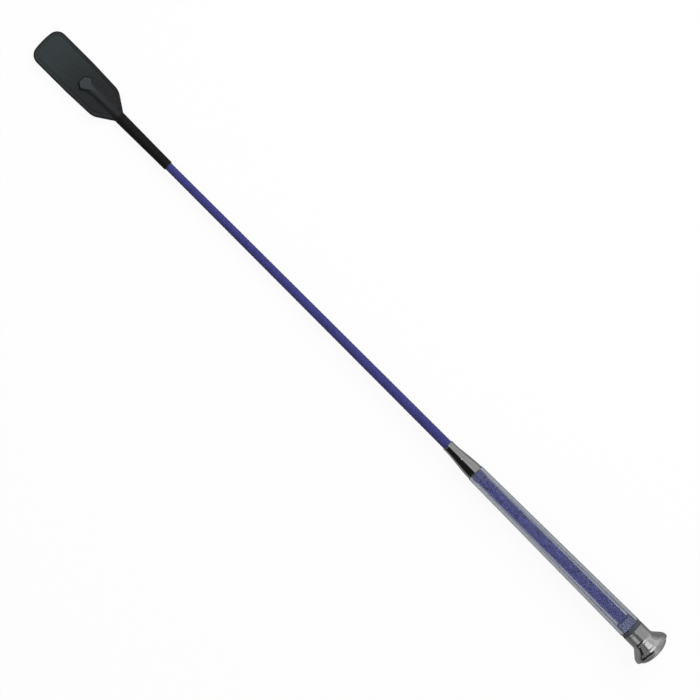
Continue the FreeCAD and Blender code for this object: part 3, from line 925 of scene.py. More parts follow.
# ---- geometry node trees -------------------------------------------------------------------------
class PartTree:
    """A geometry node tree with named inputs, which ends in Realize Instances and Set Material."""

    def __init__(self, name: str) -> None:
        """Open a tree.

        Args:
            name: The tree's name.
        """
        self.tree = bpy.data.node_groups.new(name, "GeometryNodeTree")
        interface = self.tree.interface
        interface.new_socket("Geometry", in_out="INPUT", socket_type="NodeSocketGeometry")
        interface.new_socket("Geometry", in_out="OUTPUT", socket_type="NodeSocketGeometry")
        self.source = self.tree.nodes.new("NodeGroupInput")
        self.values: dict[str, Any] = {}

    def _input(self, name: str, kind: str, value: Any) -> bpy.types.NodeSocket:
        """Add a named input, whose value the modifier gets."""
        socket = self.tree.interface.new_socket(name, in_out="INPUT", socket_type=kind)
        self.values[socket.identifier] = value
        return self.source.outputs[name]

    def size(self, name: str, value: float) -> Field:
        """A named length, angle or share."""
        return Field(self.tree, self._input(name, "NodeSocketFloat", value))

    def count(self, name: str, value: int) -> Field:
        """A named whole number."""
        return Field(self.tree, self._input(name, "NodeSocketInt", value))

    def node(
        self, kind: str, settings: dict | None = None, inputs: dict | None = None
    ) -> bpy.types.Node:
        """Add a node."""
        return place(self.tree, kind, settings, inputs)

    def rod(self, sides: int, rings: Any) -> bpy.types.NodeSocket:
        """A closed rod of radius 1 along Z from -0.5 to 0.5, to be bent into shape."""
        node = self.node("GeometryNodeMeshCylinder", {"fill_type": "NGON"}, {
            "Vertices": sides, "Side Segments": rings, "Radius": 1.0, "Depth": 1.0})
        return node.outputs["Mesh"]

    def section(self) -> tuple[Field, Field, Field]:
        """A rod point's two places in its section, from -1 to 1, and its share along the rod."""
        node = self.node("GeometryNodeInputPosition")
        wide, high, along = split(self.tree, node.outputs[0])
        return wide, high, along + 0.5

    def remember(self, mesh: Any, name: str, kind: str, domain: str, value: Any) -> bpy.types.NodeSocket:
        """Store a named attribute on a mesh or on instances."""
        node = self.node("GeometryNodeStoreNamedAttribute", {"data_type": kind, "domain": domain},
                         {"Geometry": mesh, "Name": name, "Value": value})
        return node.outputs["Geometry"]

    def recall(self, name: str) -> Field:
        """Read a named number back."""
        node = self.node("GeometryNodeInputNamedAttribute", {"data_type": "FLOAT"}, {"Name": name})
        return Field(self.tree, node.outputs["Attribute"])

    def repeat(self, mesh: Any, amount: Any, name: str) -> bpy.types.NodeSocket:
        """Copies of a mesh, each with its number stored under a name.

        Args:
            mesh: The mesh to copy.
            amount: How many copies to make.
            name: The name that the copy's number is stored under.

        Returns:
            The copies as one mesh.
        """
        single = self.node("GeometryNodeGeometryToInstance", inputs={0: mesh})
        copies = self.node("GeometryNodeDuplicateElements", {"domain": "INSTANCE"},
                           {"Geometry": single.outputs[0], "Amount": amount})
        numbered = self.remember(copies.outputs["Geometry"], name, "FLOAT", "INSTANCE",
                                 copies.outputs["Duplicate Index"])
        return self.node("GeometryNodeRealizeInstances", inputs={"Geometry": numbered}).outputs[0]

    def move(self, mesh: Any, position: Any) -> bpy.types.NodeSocket:
        """Put every point of a mesh at a new position."""
        node = self.node("GeometryNodeSetPosition", inputs={"Geometry": mesh, "Position": position})
        return node.outputs[0]

    def wind(self, mesh: Any, along: Any, radius: Any, angle: Any) -> bpy.types.NodeSocket:
        """Put every point of a mesh at a place along X, a radius and an angle round it."""
        return self.move(mesh, merge(self.tree, along, radius * angle.cos(), radius * angle.sin()))

    def piece(
        self,
        name: str,
        geometry: Any,
        material: bpy.types.Material,
        host: bpy.types.Mesh | None = None,
    ) -> bpy.types.Object:
        """Close the tree, run it once and keep the result as a plain mesh.

        Args:
            name: The piece's name.
            geometry: The geometry to finish.
            material: Its finish.
            host: The mesh that the tree starts from, if it needs one.

        Returns:
            The piece's object, with no modifier.
        """
        finish = self._input("Finish", "NodeSocketMaterial", material)
        realized = self.node("GeometryNodeRealizeInstances", inputs={"Geometry": geometry})
        dressed = self.node("GeometryNodeSetMaterial",
                            inputs={"Geometry": realized.outputs[0], "Material": finish})
        sink = self.tree.nodes.new("NodeGroupOutput")
        self.tree.links.new(dressed.outputs[0], sink.inputs[0])
        carrier = add_object(name + "_carrier", host or bpy.data.meshes.new(name + "_host"))
        modifier = carrier.modifiers.new(name, "NODES")
        modifier.node_group = self.tree
        for identifier, value in self.values.items():
            modifier[identifier] = value
        graph = bpy.context.evaluated_depsgraph_get()
        mesh = bpy.data.meshes.new_from_object(carrier.evaluated_get(graph))
        mesh.name = name
        bpy.data.objects.remove(carrier)
        turn_outwards(mesh)
        shade_smooth(mesh)
        return add_object(name, mesh)


# ---- the crop's sub-assemblies -------------------------------------------------------------------
def keep(piece: bpy.types.Object, body: str, slot: str, *replaced: str) -> bpy.types.Object:
    """Let a piece ride on a body and hide the CAD nodes that it stands for.

    Args:
        piece: The piece.
        body: The body it rides on.
        slot: Not used.
        replaced: The CAD nodes that it stands for.

    Returns:
        The same piece.
    """
    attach(piece, body)
    if replaced:
        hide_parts(*replaced)
    LOG.info("%s: %d faces", piece.name, len(piece.data.polygons))
    return piece


def dress(node: str, finish: Any) -> None:
    """Give a CAD node that stays its own finish.

    Args:
        node: The CAD node's name.
        finish: One of the finishes.
    """
    material = finish.material()
    for slot in FRAME["nodes"][node].material_slots:
        slot.material = material
    LOG.info("%s: dressed as %s", node, material.name)


def span(node: str) -> tuple[float, float, float]:
    """A CAD node's rear place, front place and largest half width across Y."""
    low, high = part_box(node)
    return low.x, high.x, high.y


@dataclass
class Shaft:
    """The plaited cover over the rod, strand by strand, from the rear plug to the neck binding."""

    strands: int = 16
    pitch: float = 24.0 * MM
    front_radius: float = 3.00 * MM
    proud: float = 0.20 * MM
    fill: float = 0.93
    strand_depth: float = 0.50 * MM
    wave: float = 0.11 * MM
    ring_step: float = 0.95 * MM
    sides: int = 8
    shade_bed_gap: float = 0.52 * MM

    def build(self, finishes: Finishes) -> None:
        """Build the strands and the dark sleeve of painted shade beneath them.

        Args:
            finishes: The crop's finishes.
        """
        rear, front, cover_radius = span("braid_cover")
        rear_radius, front_radius = cover_radius + self.proud, self.front_radius + self.proud
        strands = self.plait(rear, front, rear_radius, front_radius, finishes.braid.material())
        keep(strands, HANDLE, "braid", "braid_cover")
        # painted shade: a dark sleeve under the strands, which shows in the gaps between them
        shade_bed = sleeve(rear, front, rear_radius - self.shade_bed_gap, front_radius - self.shade_bed_gap, self.shade_bed_gap)
        keep(turned("plait_shade_bed", shade_bed, finishes.braid_shade_bed.material(), segments=48), HANDLE, "braid")
        dress("rod_core", finishes.rod)

    def plait(
        self,
        rear: float,
        front: float,
        rear_radius: float,
        front_radius: float,
        material: bpy.types.Material,
    ) -> bpy.types.Object:
        """Weave the strands, half of them each way, over two and under two.

        Args:
            rear: Where the plait starts.
            front: Where it ends.
            rear_radius: Its outer radius at the start.
            front_radius: Its outer radius at the end.
            material: The thread's finish.

        Returns:
            The plait as one piece.
        """
        part = PartTree("plait")
        strands = part.count("Strands", self.strands)
        start = part.size("Rear", rear)
        length = part.size("Length", front - rear)
        thick_end = part.size("Rear radius", rear_radius)
        taper = part.size("Taper", front_radius - rear_radius)
        pitch = part.size("Pitch", self.pitch)
        fill = part.size("Fill", self.fill)
        depth = part.size("Strand depth", self.strand_depth)
        wave = part.size("Wave", self.wave)
        rings = part.count("Rings", round((front - rear) / self.ring_step))
        rods = part.repeat(part.rod(self.sides, rings), strands, "strand")
        wide, high, share = part.section()
        number = part.recall("strand")
        way = 1.0 - (number % 2.0) * 2.0
        along = start + share * length
        radius = thick_end + share * taper
        girth = radius * math.tau
        slope_length = (pitch * pitch + girth * girth).root()
        lean, reach = girth / slope_length, pitch / slope_length
        angle = way * along / pitch * math.tau + (number / 2.0).floor() / strands * (2 * math.tau)
        over = (angle * strands / 4.0 - math.pi / 4).cos() * way * wave
        half_width = fill * girth * reach / strands
        edge = wide * half_width
        beside = along - way * lean * edge
        bounded = beside.high(start).low(start + length)
        turn = angle + edge * reach / radius
        height = radius - depth / 2.0 - wave + over + high * (depth / 2.0)
        lay = merge(part.tree, wide, share * length / reach, number)
        marked = part.remember(rods, "lay", "FLOAT_VECTOR", "POINT", lay)
        return part.piece("plaited_strands", part.wind(marked, bounded, height, turn), material)


@dataclass
class Binding:
    """The whipping of waxed thread over the keeper's tongue, one close helix."""

    thread: float = 0.62 * MM
    rear_radius: float = 3.76 * MM
    proud: float = 0.20 * MM
    lap: float = 0.97
    thread_seat: float = 0.62
    shade_bed_depth: float = 0.85
    sides: int = 8
    steps_a_turn: int = 26

    def build(self, finishes: Finishes) -> None:
        """Build the helix and the dark sleeve of painted shade beneath it.

        Args:
            finishes: The crop's finishes.
        """
        rear, front, cover_radius = span("neck_binding")
        rear_end, front_end = self.rear_radius + self.proud, cover_radius + self.proud
        turns = round((front - rear - self.thread) / (self.thread * self.lap))
        part = PartTree("whipping")
        start = part.size("Rear", rear + self.thread / 2)
        length = part.size("Length", front - rear - self.thread)
        rear_radius = part.size("Rear radius", rear_end)
        rise = part.size("Rise", front_end - rear_end)
        thread = part.size("Thread", self.thread)
        laps = part.size("Turns", float(turns))
        rod = part.rod(self.sides, part.count("Rings", turns * self.steps_a_turn))
        wide, high, share = part.section()
        angle = share * laps * math.tau
        wander = (angle * 0.173).sin() * (thread * 0.05) + (angle * 0.031).sin() * (thread * 0.06)
        centre = rear_radius + share * rise - thread * self.thread_seat
        radius = centre + wander * 0.5 + high * (thread / 2.0)
        along = start + share * length + wander * 0.6 + wide * (thread * 0.52)
        lay = merge(part.tree, wide, angle * rear_radius, 0.0)
        marked = part.remember(rod, "lay", "FLOAT_VECTOR", "POINT", lay)
        shaped = part.wind(marked, along, radius, angle)
        piece = part.piece("thread_whipping", shaped, finishes.binding.material())
        keep(piece, HANDLE, "thread", "neck_binding")
        # painted shade: a dark sleeve under the thread, which shows between its turns
        sunk = self.thread * self.shade_bed_depth
        shade_bed = sleeve(rear + sunk / 2, front - sunk / 2, rear_end - sunk, front_end - sunk, 0.6 * sunk)
        material = finishes.binding_shade_bed.material()
        keep(turned("whipping_shade_bed", shade_bed, material, segments=48), HANDLE, "thread")


@dataclass
class Ferrule:
    """The chromed cone with a rolled lip, and its tack."""

    front_radius: float = 4.60 * MM
    bore_front: float = 4.20 * MM
    bore_rear: float = 5.60 * MM
    seat_depth: float = 8.0 * MM
    lip: float = 0.42 * MM
    lip_height: float = 0.12 * MM
    lip_share: float = 2.6
    bore_edge: float = 0.1 * MM
    rear_edge: float = 0.25 * MM
    side_steps: int = 22

    def side(self, front: float, rear: float, rear_radius: float) -> list[Corner]:
        """The S-shaped side from the lip to the rear edge.

        Args:
            front: The front end's place.
            rear: The rear end's place.
            rear_radius: The radius at the rear.

        Returns:
            Corners along the side.
        """
        corners = []
        neck = self.front_radius - self.lip_height
        start = front - self.lip_share * self.lip
        for step in range(self.side_steps + 1):
            share = step / self.side_steps
            along = start + (rear - start) * share
            corners.append(Corner(along, neck + (rear_radius - neck) * smooth(0.0, 1.0, share)))
        return corners

    def build(self, finishes: Finishes) -> None:
        """Build the cone and dress its tack.

        Args:
            finishes: The crop's finishes.
        """
        rear, front, rear_radius = span("ferrule")
        lip = [
            Corner(front, self.bore_front, self.bore_edge),
            Corner(front, self.front_radius, self.lip),
            Corner(front - 2.0 * self.lip, self.front_radius, self.lip * 0.8),
        ]
        side = self.side(front, rear, rear_radius)
        side[-1] = Corner(rear, rear_radius, self.rear_edge)
        inside = [
            Corner(rear, self.bore_rear, self.bore_edge),
            Corner(rear + self.seat_depth, self.bore_rear),
            Corner(rear + self.seat_depth, self.bore_front),
        ]
        cone = turned("ferrule_cone", lip + side + inside, finishes.chrome.material())
        keep(cone, HANDLE, "chrome", "ferrule")
        dress("ferrule_tack", finishes.steel)


@dataclass
class Grip:
    """The clear tube with its bush, its rear plug and the dark washer."""

    front_radius: float = 7.05 * MM
    wall: float = 2.05 * MM
    front_edge: float = 0.95 * MM
    rear_edge: float = 0.25 * MM
    bore_edge: float = 0.1 * MM
    washer_edge: float = 0.3 * MM
    clearance: float = 0.12 * MM
    rod_bore: float = 3.68 * MM
    bush_bore: float = 4.32 * MM
    bush_nose: float = 5.48 * MM
    bush_edge: float = 0.3 * MM
    nose_edge: float = 0.2 * MM
    plug_nose: float = 0.85 * MM
    plug_taper: float = 0.09 * MM

    def build(self, finishes: Finishes) -> None:
        """Build the tube and what closes it.

        Args:
            finishes: The crop's finishes.
        """
        rear, front, rear_radius = span("grip_tube")
        clear = finishes.clear.material()
        rear_bore, front_bore = rear_radius - self.wall, self.front_radius - self.wall
        tube = [
            Corner(rear, rear_bore, self.bore_edge),
            Corner(rear, rear_radius, self.rear_edge),
            Corner(front, self.front_radius, self.front_edge),
            Corner(front, front_bore, self.bore_edge),
        ]
        keep(turned("clear_tube", tube, clear, segments=144), HANDLE, "clear_tube", "grip_tube")
        self.build_bush(front, front_bore - self.clearance, finishes.bush.material())
        self.build_plug(rear, rear_bore - self.clearance, finishes)
        washer_rear, washer_front, washer_radius = span("rear_washer")
        washer = [
            Corner(washer_rear, rear_bore),
            Corner(washer_rear, washer_radius, self.washer_edge),
            Corner(washer_front, washer_radius, self.washer_edge),
            Corner(washer_front, rear_bore),
        ]
        material = finishes.washer.material()
        keep(turned("dark_washer", washer, material), HANDLE, "black_rubber", "rear_washer")

    def build_bush(self, tube_front: float, in_tube: float, frosted: bpy.types.Material) -> None:
        """Build the stepped frosted bush in the mouth of the tube.

        Args:
            tube_front: Where the tube ends.
            in_tube: The bush's radius inside the tube.
            frosted: Its finish.
        """
        rear, front, _ = span("front_bush")
        bush = [
            Corner(rear, self.bush_bore, self.bore_edge),
            Corner(rear, in_tube, self.bush_edge),
            Corner(tube_front, in_tube),
            Corner(tube_front, self.bush_nose),
            Corner(front, self.bush_nose, self.nose_edge),
            Corner(front, self.bush_bore),
        ]
        keep(turned("frosted_bush", bush, frosted), HANDLE, "clear_tube", "front_bush")

    def build_plug(self, tube_rear: float, in_tube: float, finishes: Finishes) -> None:
        """Build the stepped plug that shows through the tube's rear end.

        Args:
            tube_rear: Where the tube starts.
            in_tube: The plug's radius inside the tube.
            finishes: The crop's finishes.
        """
        rear, front, in_collar = span("rear_plug")
        collar_front = span("pommel_flare")[1]
        plug = [
            Corner(rear, self.rod_bore),
            Corner(rear, in_collar),
            Corner(collar_front, in_collar),
            Corner(collar_front, in_tube),
            Corner(tube_rear, in_tube),
            Corner(front, in_tube - self.plug_taper, self.plug_nose),
            Corner(front, self.rod_bore),
        ]
        piece = turned("tube_plug", plug, finishes.plug.material())
        keep(piece, HANDLE, "plug_plastic", "rear_plug")


@dataclass
class Pommel:
    """The chromed collar, its conical flare and the domed disc in the rim."""

    collar_radius: float = 9.0 * MM
    collar_rear: float = -5.25 * MM
    flare_length: float = 7.25 * MM
    wall: float = 1.4 * MM
    rim_wall: float = 1.2 * MM
    seat_depth: float = 2.0 * MM
    step_height: float = 0.7 * MM
    step_width: float = 1.1 * MM
    groove: float = 0.22 * MM
    groove_back: float = 1.6 * MM
    bore_edge: float = 0.1 * MM
    front_edge: float = 0.25 * MM
    groove_edge: float = 0.05 * MM
    foot_rounding: float = 4.5 * MM
    shoulder_rounding: float = 6.0 * MM
    shoulder_share: float = 0.78
    rim_edge: float = 0.6 * MM
    seat_edge: float = 0.15 * MM
    seat_gap: float = 0.05 * MM
    hollow_share: float = 0.93
    bend_steps: int = 18
    dome_steps: int = 30

    def hollow(self, rim: float) -> list[Corner]:
        """The arc of the flare's hollow, from the rim to the collar, one wall inside the outer arc.

        Args:
            rim: The outer radius that the outer arc reaches.

        Returns:
            Corners along the arc.
        """
        rise = rim - self.collar_radius
        radius = (self.flare_length**2 + rise**2) / (2 * rise)
        turn = math.asin(self.flare_length / radius) * self.hollow_share
        corners = []
        for step in reversed(range(self.bend_steps + 1)):
            angle = turn * step / self.bend_steps
            along = self.collar_rear - (radius + self.wall) * math.sin(angle)
            across = self.collar_radius + radius - (radius + self.wall) * math.cos(angle)
            corners.append(Corner(along, across))
        return corners

    def build(self, finishes: Finishes) -> None:
        """Build the flare and the disc, and dress the pin.

        Args:
            finishes: The crop's finishes.
        """
        rim_rear, front, rim = span("pommel_flare")
        chrome = finishes.chrome.material()
        seat = rim - self.rim_wall
        groove_place = front - self.groove_back
        shoulder = self.collar_rear - self.flare_length
        collar = [
            Corner(front, self.collar_radius - self.wall, self.bore_edge),
            Corner(front, self.collar_radius, self.front_edge),
            Corner(groove_place + self.groove, self.collar_radius, self.groove_edge),
            Corner(groove_place, self.collar_radius - self.groove, self.groove_edge),
            Corner(groove_place - self.groove, self.collar_radius, self.groove_edge),
        ]
        outside = [
            Corner(self.collar_rear, self.collar_radius, self.foot_rounding),
            Corner(shoulder, rim, self.shoulder_rounding, self.shoulder_share),
        ]
        edge = [
            Corner(rim_rear, rim, self.rim_edge),
            Corner(rim_rear, seat, self.seat_edge),
            Corner(rim_rear + self.seat_depth, seat),
        ]
        outline = collar + outside + edge + self.hollow(rim)
        keep(turned("flared_collar", outline, chrome, segments=160, parts=12),
             HANDLE, "chrome", "pommel_flare")
        self.build_disc(rim_rear, seat, chrome)
        dress("pommel_pin", finishes.steel)

    def build_disc(self, rim_rear: float, seat: float, chrome: bpy.types.Material) -> None:
        """Build the domed disc with the step round its dome.

        Args:
            rim_rear: Where the rim ends.
            seat: The radius of the seat in the rim.
            chrome: The disc's finish.
        """
        apex, inner, _ = span("pommel_end_disc")
        step = rim_rear - self.step_height
        disc_radius, dome_radius = seat - self.seat_gap, seat - self.step_width
        rows = [
            Corner(inner, 0.0),
            Corner(inner, disc_radius),
            Corner(rim_rear + 0.15 * MM, disc_radius, 0.2 * MM),
            Corner(step + 0.15 * MM, dome_radius + 0.25 * MM, 0.3 * MM),
        ]
        for number in range(self.dome_steps):
            angle = math.pi / 2 * number / self.dome_steps
            rows.append(Corner(step - (step - apex) * math.sin(angle), dome_radius * math.cos(angle)))
        rows.append(Corner(apex, 0.0))
        disc = turned("domed_disc", rows, chrome, closed=False, segments=160)
        keep(disc, HANDLE, "chrome", "pommel_end_disc")


def smooth(low: float, high: float, value: float) -> float:
    """Rise smoothly from 0 at low to 1 at high."""
    share = min(max((value - low) / (high - low), 0.0), 1.0)
    return share * share * (3 - 2 * share)


def soft_high(first: float, second: float, softness: float) -> float:
    """The larger of two, blended where they are close."""
    near = max(softness - abs(first - second), 0.0) / softness
    return max(first, second) + near * near * softness / 4


@dataclass
class Keeper:
    """The leather keeper: two leathers sewn together over the rod's tip, made as one supple form."""

    half_thickness: float = 2.2 * MM
    tongue_radius: float = 3.55 * MM
    tongue_length: float = 3.0 * MM
    tongue_share: float = 0.45
    tongue_rise: float = 4.5 * MM
    throat_half_width: float = 4.7 * MM
    shoulder_length: float = 14.2 * MM
    shoulder_half_width: float = 14.0 * MM
    shoulder_rounding: float = 13.0 * MM
    tip_rounding: float = 12.6 * MM
    crown: float = 1.7 * MM
    edge_rounding: float = 0.75 * MM
    ridge_radius: float = 3.6 * MM
    guard_radius: float = 4.2 * MM
    lozenge_top: float = 4.35 * MM
    lozenge_length: float = 11.0 * MM
    lozenge_nose_length: float = 3.6 * MM
    lozenge_half_width: float = 5.0 * MM
    lozenge_nose_half_width: float = 2.6 * MM
    lozenge_slope: float = 1.5
    refined_margin: float = 2.5 * MM
    seam_inset: float = 3.0 * MM
    seam_channel: float = 0.28 * MM
    channel_width: float = 0.5 * MM
    swell_before: float = 4.0 * MM
    swell_after: float = 0.5 * MM
    fall_before: float = 4.5 * MM
    fall_after: float = 1.6 * MM
    ridge_softness: float = 0.9 * MM
    lozenge_softness: float = 0.3 * MM
    seam_start: float = 5.0 * MM
    stitch_pitch: float = 3.1 * MM
    stitch_length: float = 2.5 * MM
    stitch_width: float = 0.62 * MM
    stitch_arch: float = 0.55
    stitch_sink: float = 0.30
    stitch_slant: float = 0.25
    stitch_height: float = 0.36
    outline_step: float = 0.8 * MM
    flex_before: float = 3.2 * MM
    flex_after: float = 7.0 * MM
    edge_rows: tuple[float, ...] = (0.08, 0.22, 0.42, 0.75, 1.3, 2.0, 2.45, 2.75, 3.0, 3.25, 3.55, 4.1)
    inner_rows: int = 15
    row_crowding: float = 1.35
    row_room: float = 0.72
    layer_level: float = 0.40
    layer_spread: float = 0.05
    layer_groove: float = 0.10 * MM
    edge_swell: float = 0.12 * MM
    wall_rows: tuple[float, ...] = (1.0, 0.62, 0.46, 0.40, 0.34, 0.0, -0.34, -0.40, -0.46, -0.62, -1.0)
    places: dict[str, float] = field(default_factory=dict)

    def __post_init__(self) -> None:
        """Read the keeper's places from the frame."""
        self.places = {
            "throat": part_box("keeper_neck_filler")[0].x,
            "tip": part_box("keeper_blade_front")[1].x,
            "guard_rear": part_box("tip_guard")[0].x,
            "guard_front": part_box("tip_guard")[1].x,
            "half_width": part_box("keeper_blade_front")[1].y,
            "flex": FRAME["joints"][0]["pos_m"][0],
        }

    def outline(self) -> list[Vector]:
        """The keeper's edge in plan, from the tongue along +Y to the tip, and mirrored along -Y.

        Returns:
            Points at even steps round the edge.
        """
        throat, tip, wide = (self.places[key] for key in ("throat", "tip", "half_width"))
        side = [
            Corner(throat - self.tongue_length, self.tongue_radius * 0.92, 0.5 * MM),
            Corner(throat + 0.2 * MM, self.throat_half_width, 6.0 * MM),
            Corner(throat + self.shoulder_length, self.shoulder_half_width, self.shoulder_rounding),
            Corner(self.places["flex"], wide, 90.0 * MM),
            Corner(tip - self.crown, wide, self.tip_rounding),
        ]
        far = [Corner(c.along, -c.across, c.rounding) for c in reversed(side)]
        heel = Corner(throat - self.tongue_length, 0.0)
        path = rounded_path([heel] + side + [Corner(tip, 0.0, 70.0 * MM)] + far, True, 12)
        return evenly(path, self.outline_step)

    def height(self, along: float, across: float, inset: float) -> float:
        """Half the keeper's thickness at a place, on either face.

        Args:
            along: The place along X.
            across: The place along Y.
            inset: The distance to the keeper's edge.

        Returns:
            The height above the middle plane.
        """
        throat = self.places["throat"]
        grown = smooth(throat - 0.5 * MM, throat + self.tongue_rise, along)
        plate = self.half_thickness * (self.tongue_share + (1 - self.tongue_share) * grown)
        if inset < self.edge_rounding:
            short = self.edge_rounding - inset
            plate -= self.edge_rounding - math.sqrt(self.edge_rounding**2 - short**2)
        groove = math.exp(-(((inset - self.seam_inset) / self.channel_width) ** 2))
        plate -= self.seam_channel * groove * smooth(0.4, 1.0, grown)
        rear, front = self.places["guard_rear"], self.places["guard_front"]
        swell = smooth(rear - self.swell_before, rear + self.swell_after, along)
        radius = self.ridge_radius + (self.guard_radius - self.ridge_radius) * swell
        fall = 1 - smooth(front - self.fall_before, front + self.fall_after, along)
        sunk = self.guard_radius * (1 - fall)
        ridge = math.sqrt(max(radius**2 - across**2, 0.0)) - sunk
        lozenge = self.lozenge_top + min(self.lozenge_depth(along, across), 0.0) * self.lozenge_slope
        return soft_high(soft_high(plate, ridge, self.ridge_softness), lozenge, self.lozenge_softness)

    def lozenge_depth(self, along: float, across: float) -> float:
        """How far a place lies inside the plan of the raised lozenge.

        Args:
            along: The place along X.
            across: The place along Y.

        Returns:
            The depth inside it, below 0 where the place is outside.
        """
        front = self.places["guard_front"]
        here = Vector((along, abs(across)))
        plan = [
            Vector((front - self.lozenge_length, 0.0)),
            Vector((front - self.lozenge_nose_length, self.lozenge_half_width)),
            Vector((front, self.lozenge_nose_half_width)),
            Vector((front, 0.0)),
        ]
        depths = []
        for start, end in zip(plan, plan[1:]):
            side = (end - start).normalized()
            depths.append((here - start).dot(Vector((side.y, -side.x))))
        return min(depths)

    def build(self, finishes: Finishes) -> None:
        """Build the leather and its seam.

        Args:
            finishes: The crop's finishes.
        """
        outline = self.outline()
        leather = self.build_leather(outline, finishes.leather.material())
        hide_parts("keeper_neck_front", "keeper_neck_back", "keeper_neck_filler",
                    "keeper_blade_front", "keeper_blade_back", "keeper_blade_filler")
        self.flex(leather)
        seam = self.build_seam(outline, finishes.seam.material())
        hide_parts("keeper_neck_stitching", "keeper_blade_stitching")
        self.flex(seam)
        dress("tip_guard", finishes.guard)

    def flex(self, piece: bpy.types.Object) -> None:
        """Bake a piece's place into its mesh."""
        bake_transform(piece)
        LOG.info("%s: %d faces, bends at the flex line", piece.name, len(piece.data.polygons))

    def inward(self, outline: Sequence[Vector]) -> list[Vector]:
        """Find the way into the keeper at each point of its edge.

        Args:
            outline: The keeper's edge in plan.

        Returns:
            A unit vector for each point.
        """
        result = []
        for number, _ in enumerate(outline):
            along = outline[(number + 1) % len(outline)] - outline[number - 1]
            result.append(Vector((along.y, -along.x)).normalized())
        centre = Vector((sum(p.x for p in outline), sum(p.y for p in outline))) / len(outline)
        longest = max(range(len(outline)), key=lambda n: abs(outline[n].y))
        if result[longest].dot(centre - outline[longest]) < 0:
            result = [-vector for vector in result]
        return result

    def rows_at(self, point: Vector, inward: Vector) -> list[tuple[Vector, float]]:
        """Points from the edge to the middle line, each with its distance from the edge.

        Args:
            point: The edge point.
            inward: The unit vector into the keeper.

        Returns:
            The points in order, the last on the middle line.
        """
        throat, tip = self.places["throat"], self.places["tip"]
        heel = throat - self.tongue_length + 1.0 * MM
        middle = Vector((min(max(point.x, heel), tip - self.tip_rounding), 0.0))
        room = (middle - point).length
        squeeze = min(1.0, self.row_room * room / (self.edge_rows[-1] * MM))
        rows = [(point + inward * (row * MM * squeeze), row * MM * squeeze) for row in self.edge_rows]
        last, reached = rows[-1]
        for number in range(1, self.inner_rows + 1):
            share = 1 - (1 - number / self.inner_rows) ** self.row_crowding
            rows.append((last.lerp(middle, share), reached + (middle - last).length * share))
        return rows

    def build_leather(
        self, outline: Sequence[Vector], material: bpy.types.Material
    ) -> bpy.types.Object:
        """Build both faces and the layered edge as one closed form.

        Args:
            outline: The keeper's edge in plan.
            material: The leather's finish.

        Returns:
            The leather's object.
        """
        inward = self.inward(outline)
        points: list[tuple[float, float, float]] = []
        notes: list[tuple[float, float, float]] = []
        rings: list[list[int]] = []
        columns = [self.rows_at(point, normal) for point, normal in zip(outline, inward)]

        def note(along: float, inset: float, raised: float) -> tuple[float, float, float]:
            """The painted light towards the tip, the distance to the edge and the ridge at a point."""
            # painted light: how much paler the leather is painted towards the tip
            tip_light = smooth(self.places["flex"] - 22 * MM, self.places["tip"] - 6 * MM, along)
            return (tip_light, inset, raised)

        def add_ring(row: int, face: Face) -> None:
            """Add one row of a face, right round the keeper."""
            ring = []
            for column in columns:
                place_on, inset = column[row]
                height = self.height(place_on.x, place_on.y, inset)
                flat = self.half_thickness - 0.1 * MM
                # how far the ridge over the rod stands up, which the material paints lighter as painted
                # light
                raised = smooth(0.25 * MM, 1.9 * MM, height - flat) * smooth(
                    self.places["throat"] + 2 * MM, self.places["guard_rear"], place_on.x)
                ring.append(len(points))
                points.append((place_on.x, place_on.y, face.value * height))
                notes.append(note(place_on.x, inset, raised))
            rings.append(ring)

        for row in reversed(range(len(columns[0]))):
            add_ring(row, Face.FRONT)
        self.add_wall(outline, inward, points, notes, rings, note)
        for row in range(len(columns[0])):
            add_ring(row, Face.BACK)
        faces = []
        for first, second in zip(rings, rings[1:]):
            for number in range(len(outline)):
                after = (number + 1) % len(outline)
                faces.append((first[number], first[after], second[after], second[number]))
        piece = mesh_object("keeper_leather", points, faces, material, recalculate=False)
        self.mark(piece.data, notes)
        self.close(piece.data)
        self.mark_lozenge(piece.data)
        return piece

    def add_wall(
        self,
        outline: Sequence[Vector],
        inward: Sequence[Vector],
        points: list[tuple[float, float, float]],
        notes: list[tuple[float, float, float]],
        rings: list[list[int]],
        note: Any,
    ) -> None:
        """Add the rings of the edge, with a fine groove where each layer meets the next.

        Args:
            outline: The keeper's edge in plan.
            inward: The way into the keeper at each of its points.
            points: The leather's points, which grow.
            notes: Their notes, which grow.
            rings: The rings of point numbers, which grow.
            note: The function that makes a point's note.
        """
        for level in self.wall_rows:
            ring = []
            beside = (abs(level) - self.layer_level) / self.layer_spread
            groove = math.exp(-(beside**2)) * self.layer_groove
            swell = (1 - level * level) * self.edge_swell
            for point, normal in zip(outline, inward):
                reach = self.height(point.x, point.y, 0.0)
                place_on = point + normal * (groove - swell + self.edge_swell)
                ring.append(len(points))
                points.append((place_on.x, place_on.y, level * reach))
                notes.append(note(place_on.x, 0.0, 0.0))
            rings.append(ring)

    def mark(self, mesh: bpy.types.Mesh, notes: Sequence[tuple[float, float, float]]) -> None:
        """Store the painted light towards the tip, the distance to the edge and the ridge on the
        leather's points.

        Args:
            mesh: The leather's mesh.
            notes: The three numbers of each point.
        """
        for number, name in enumerate(("tip_light", "inset", "ridge")):
            layer = mesh.attributes.new(name, "FLOAT", "POINT")
            layer.data.foreach_set("value", [row[number] for row in notes])

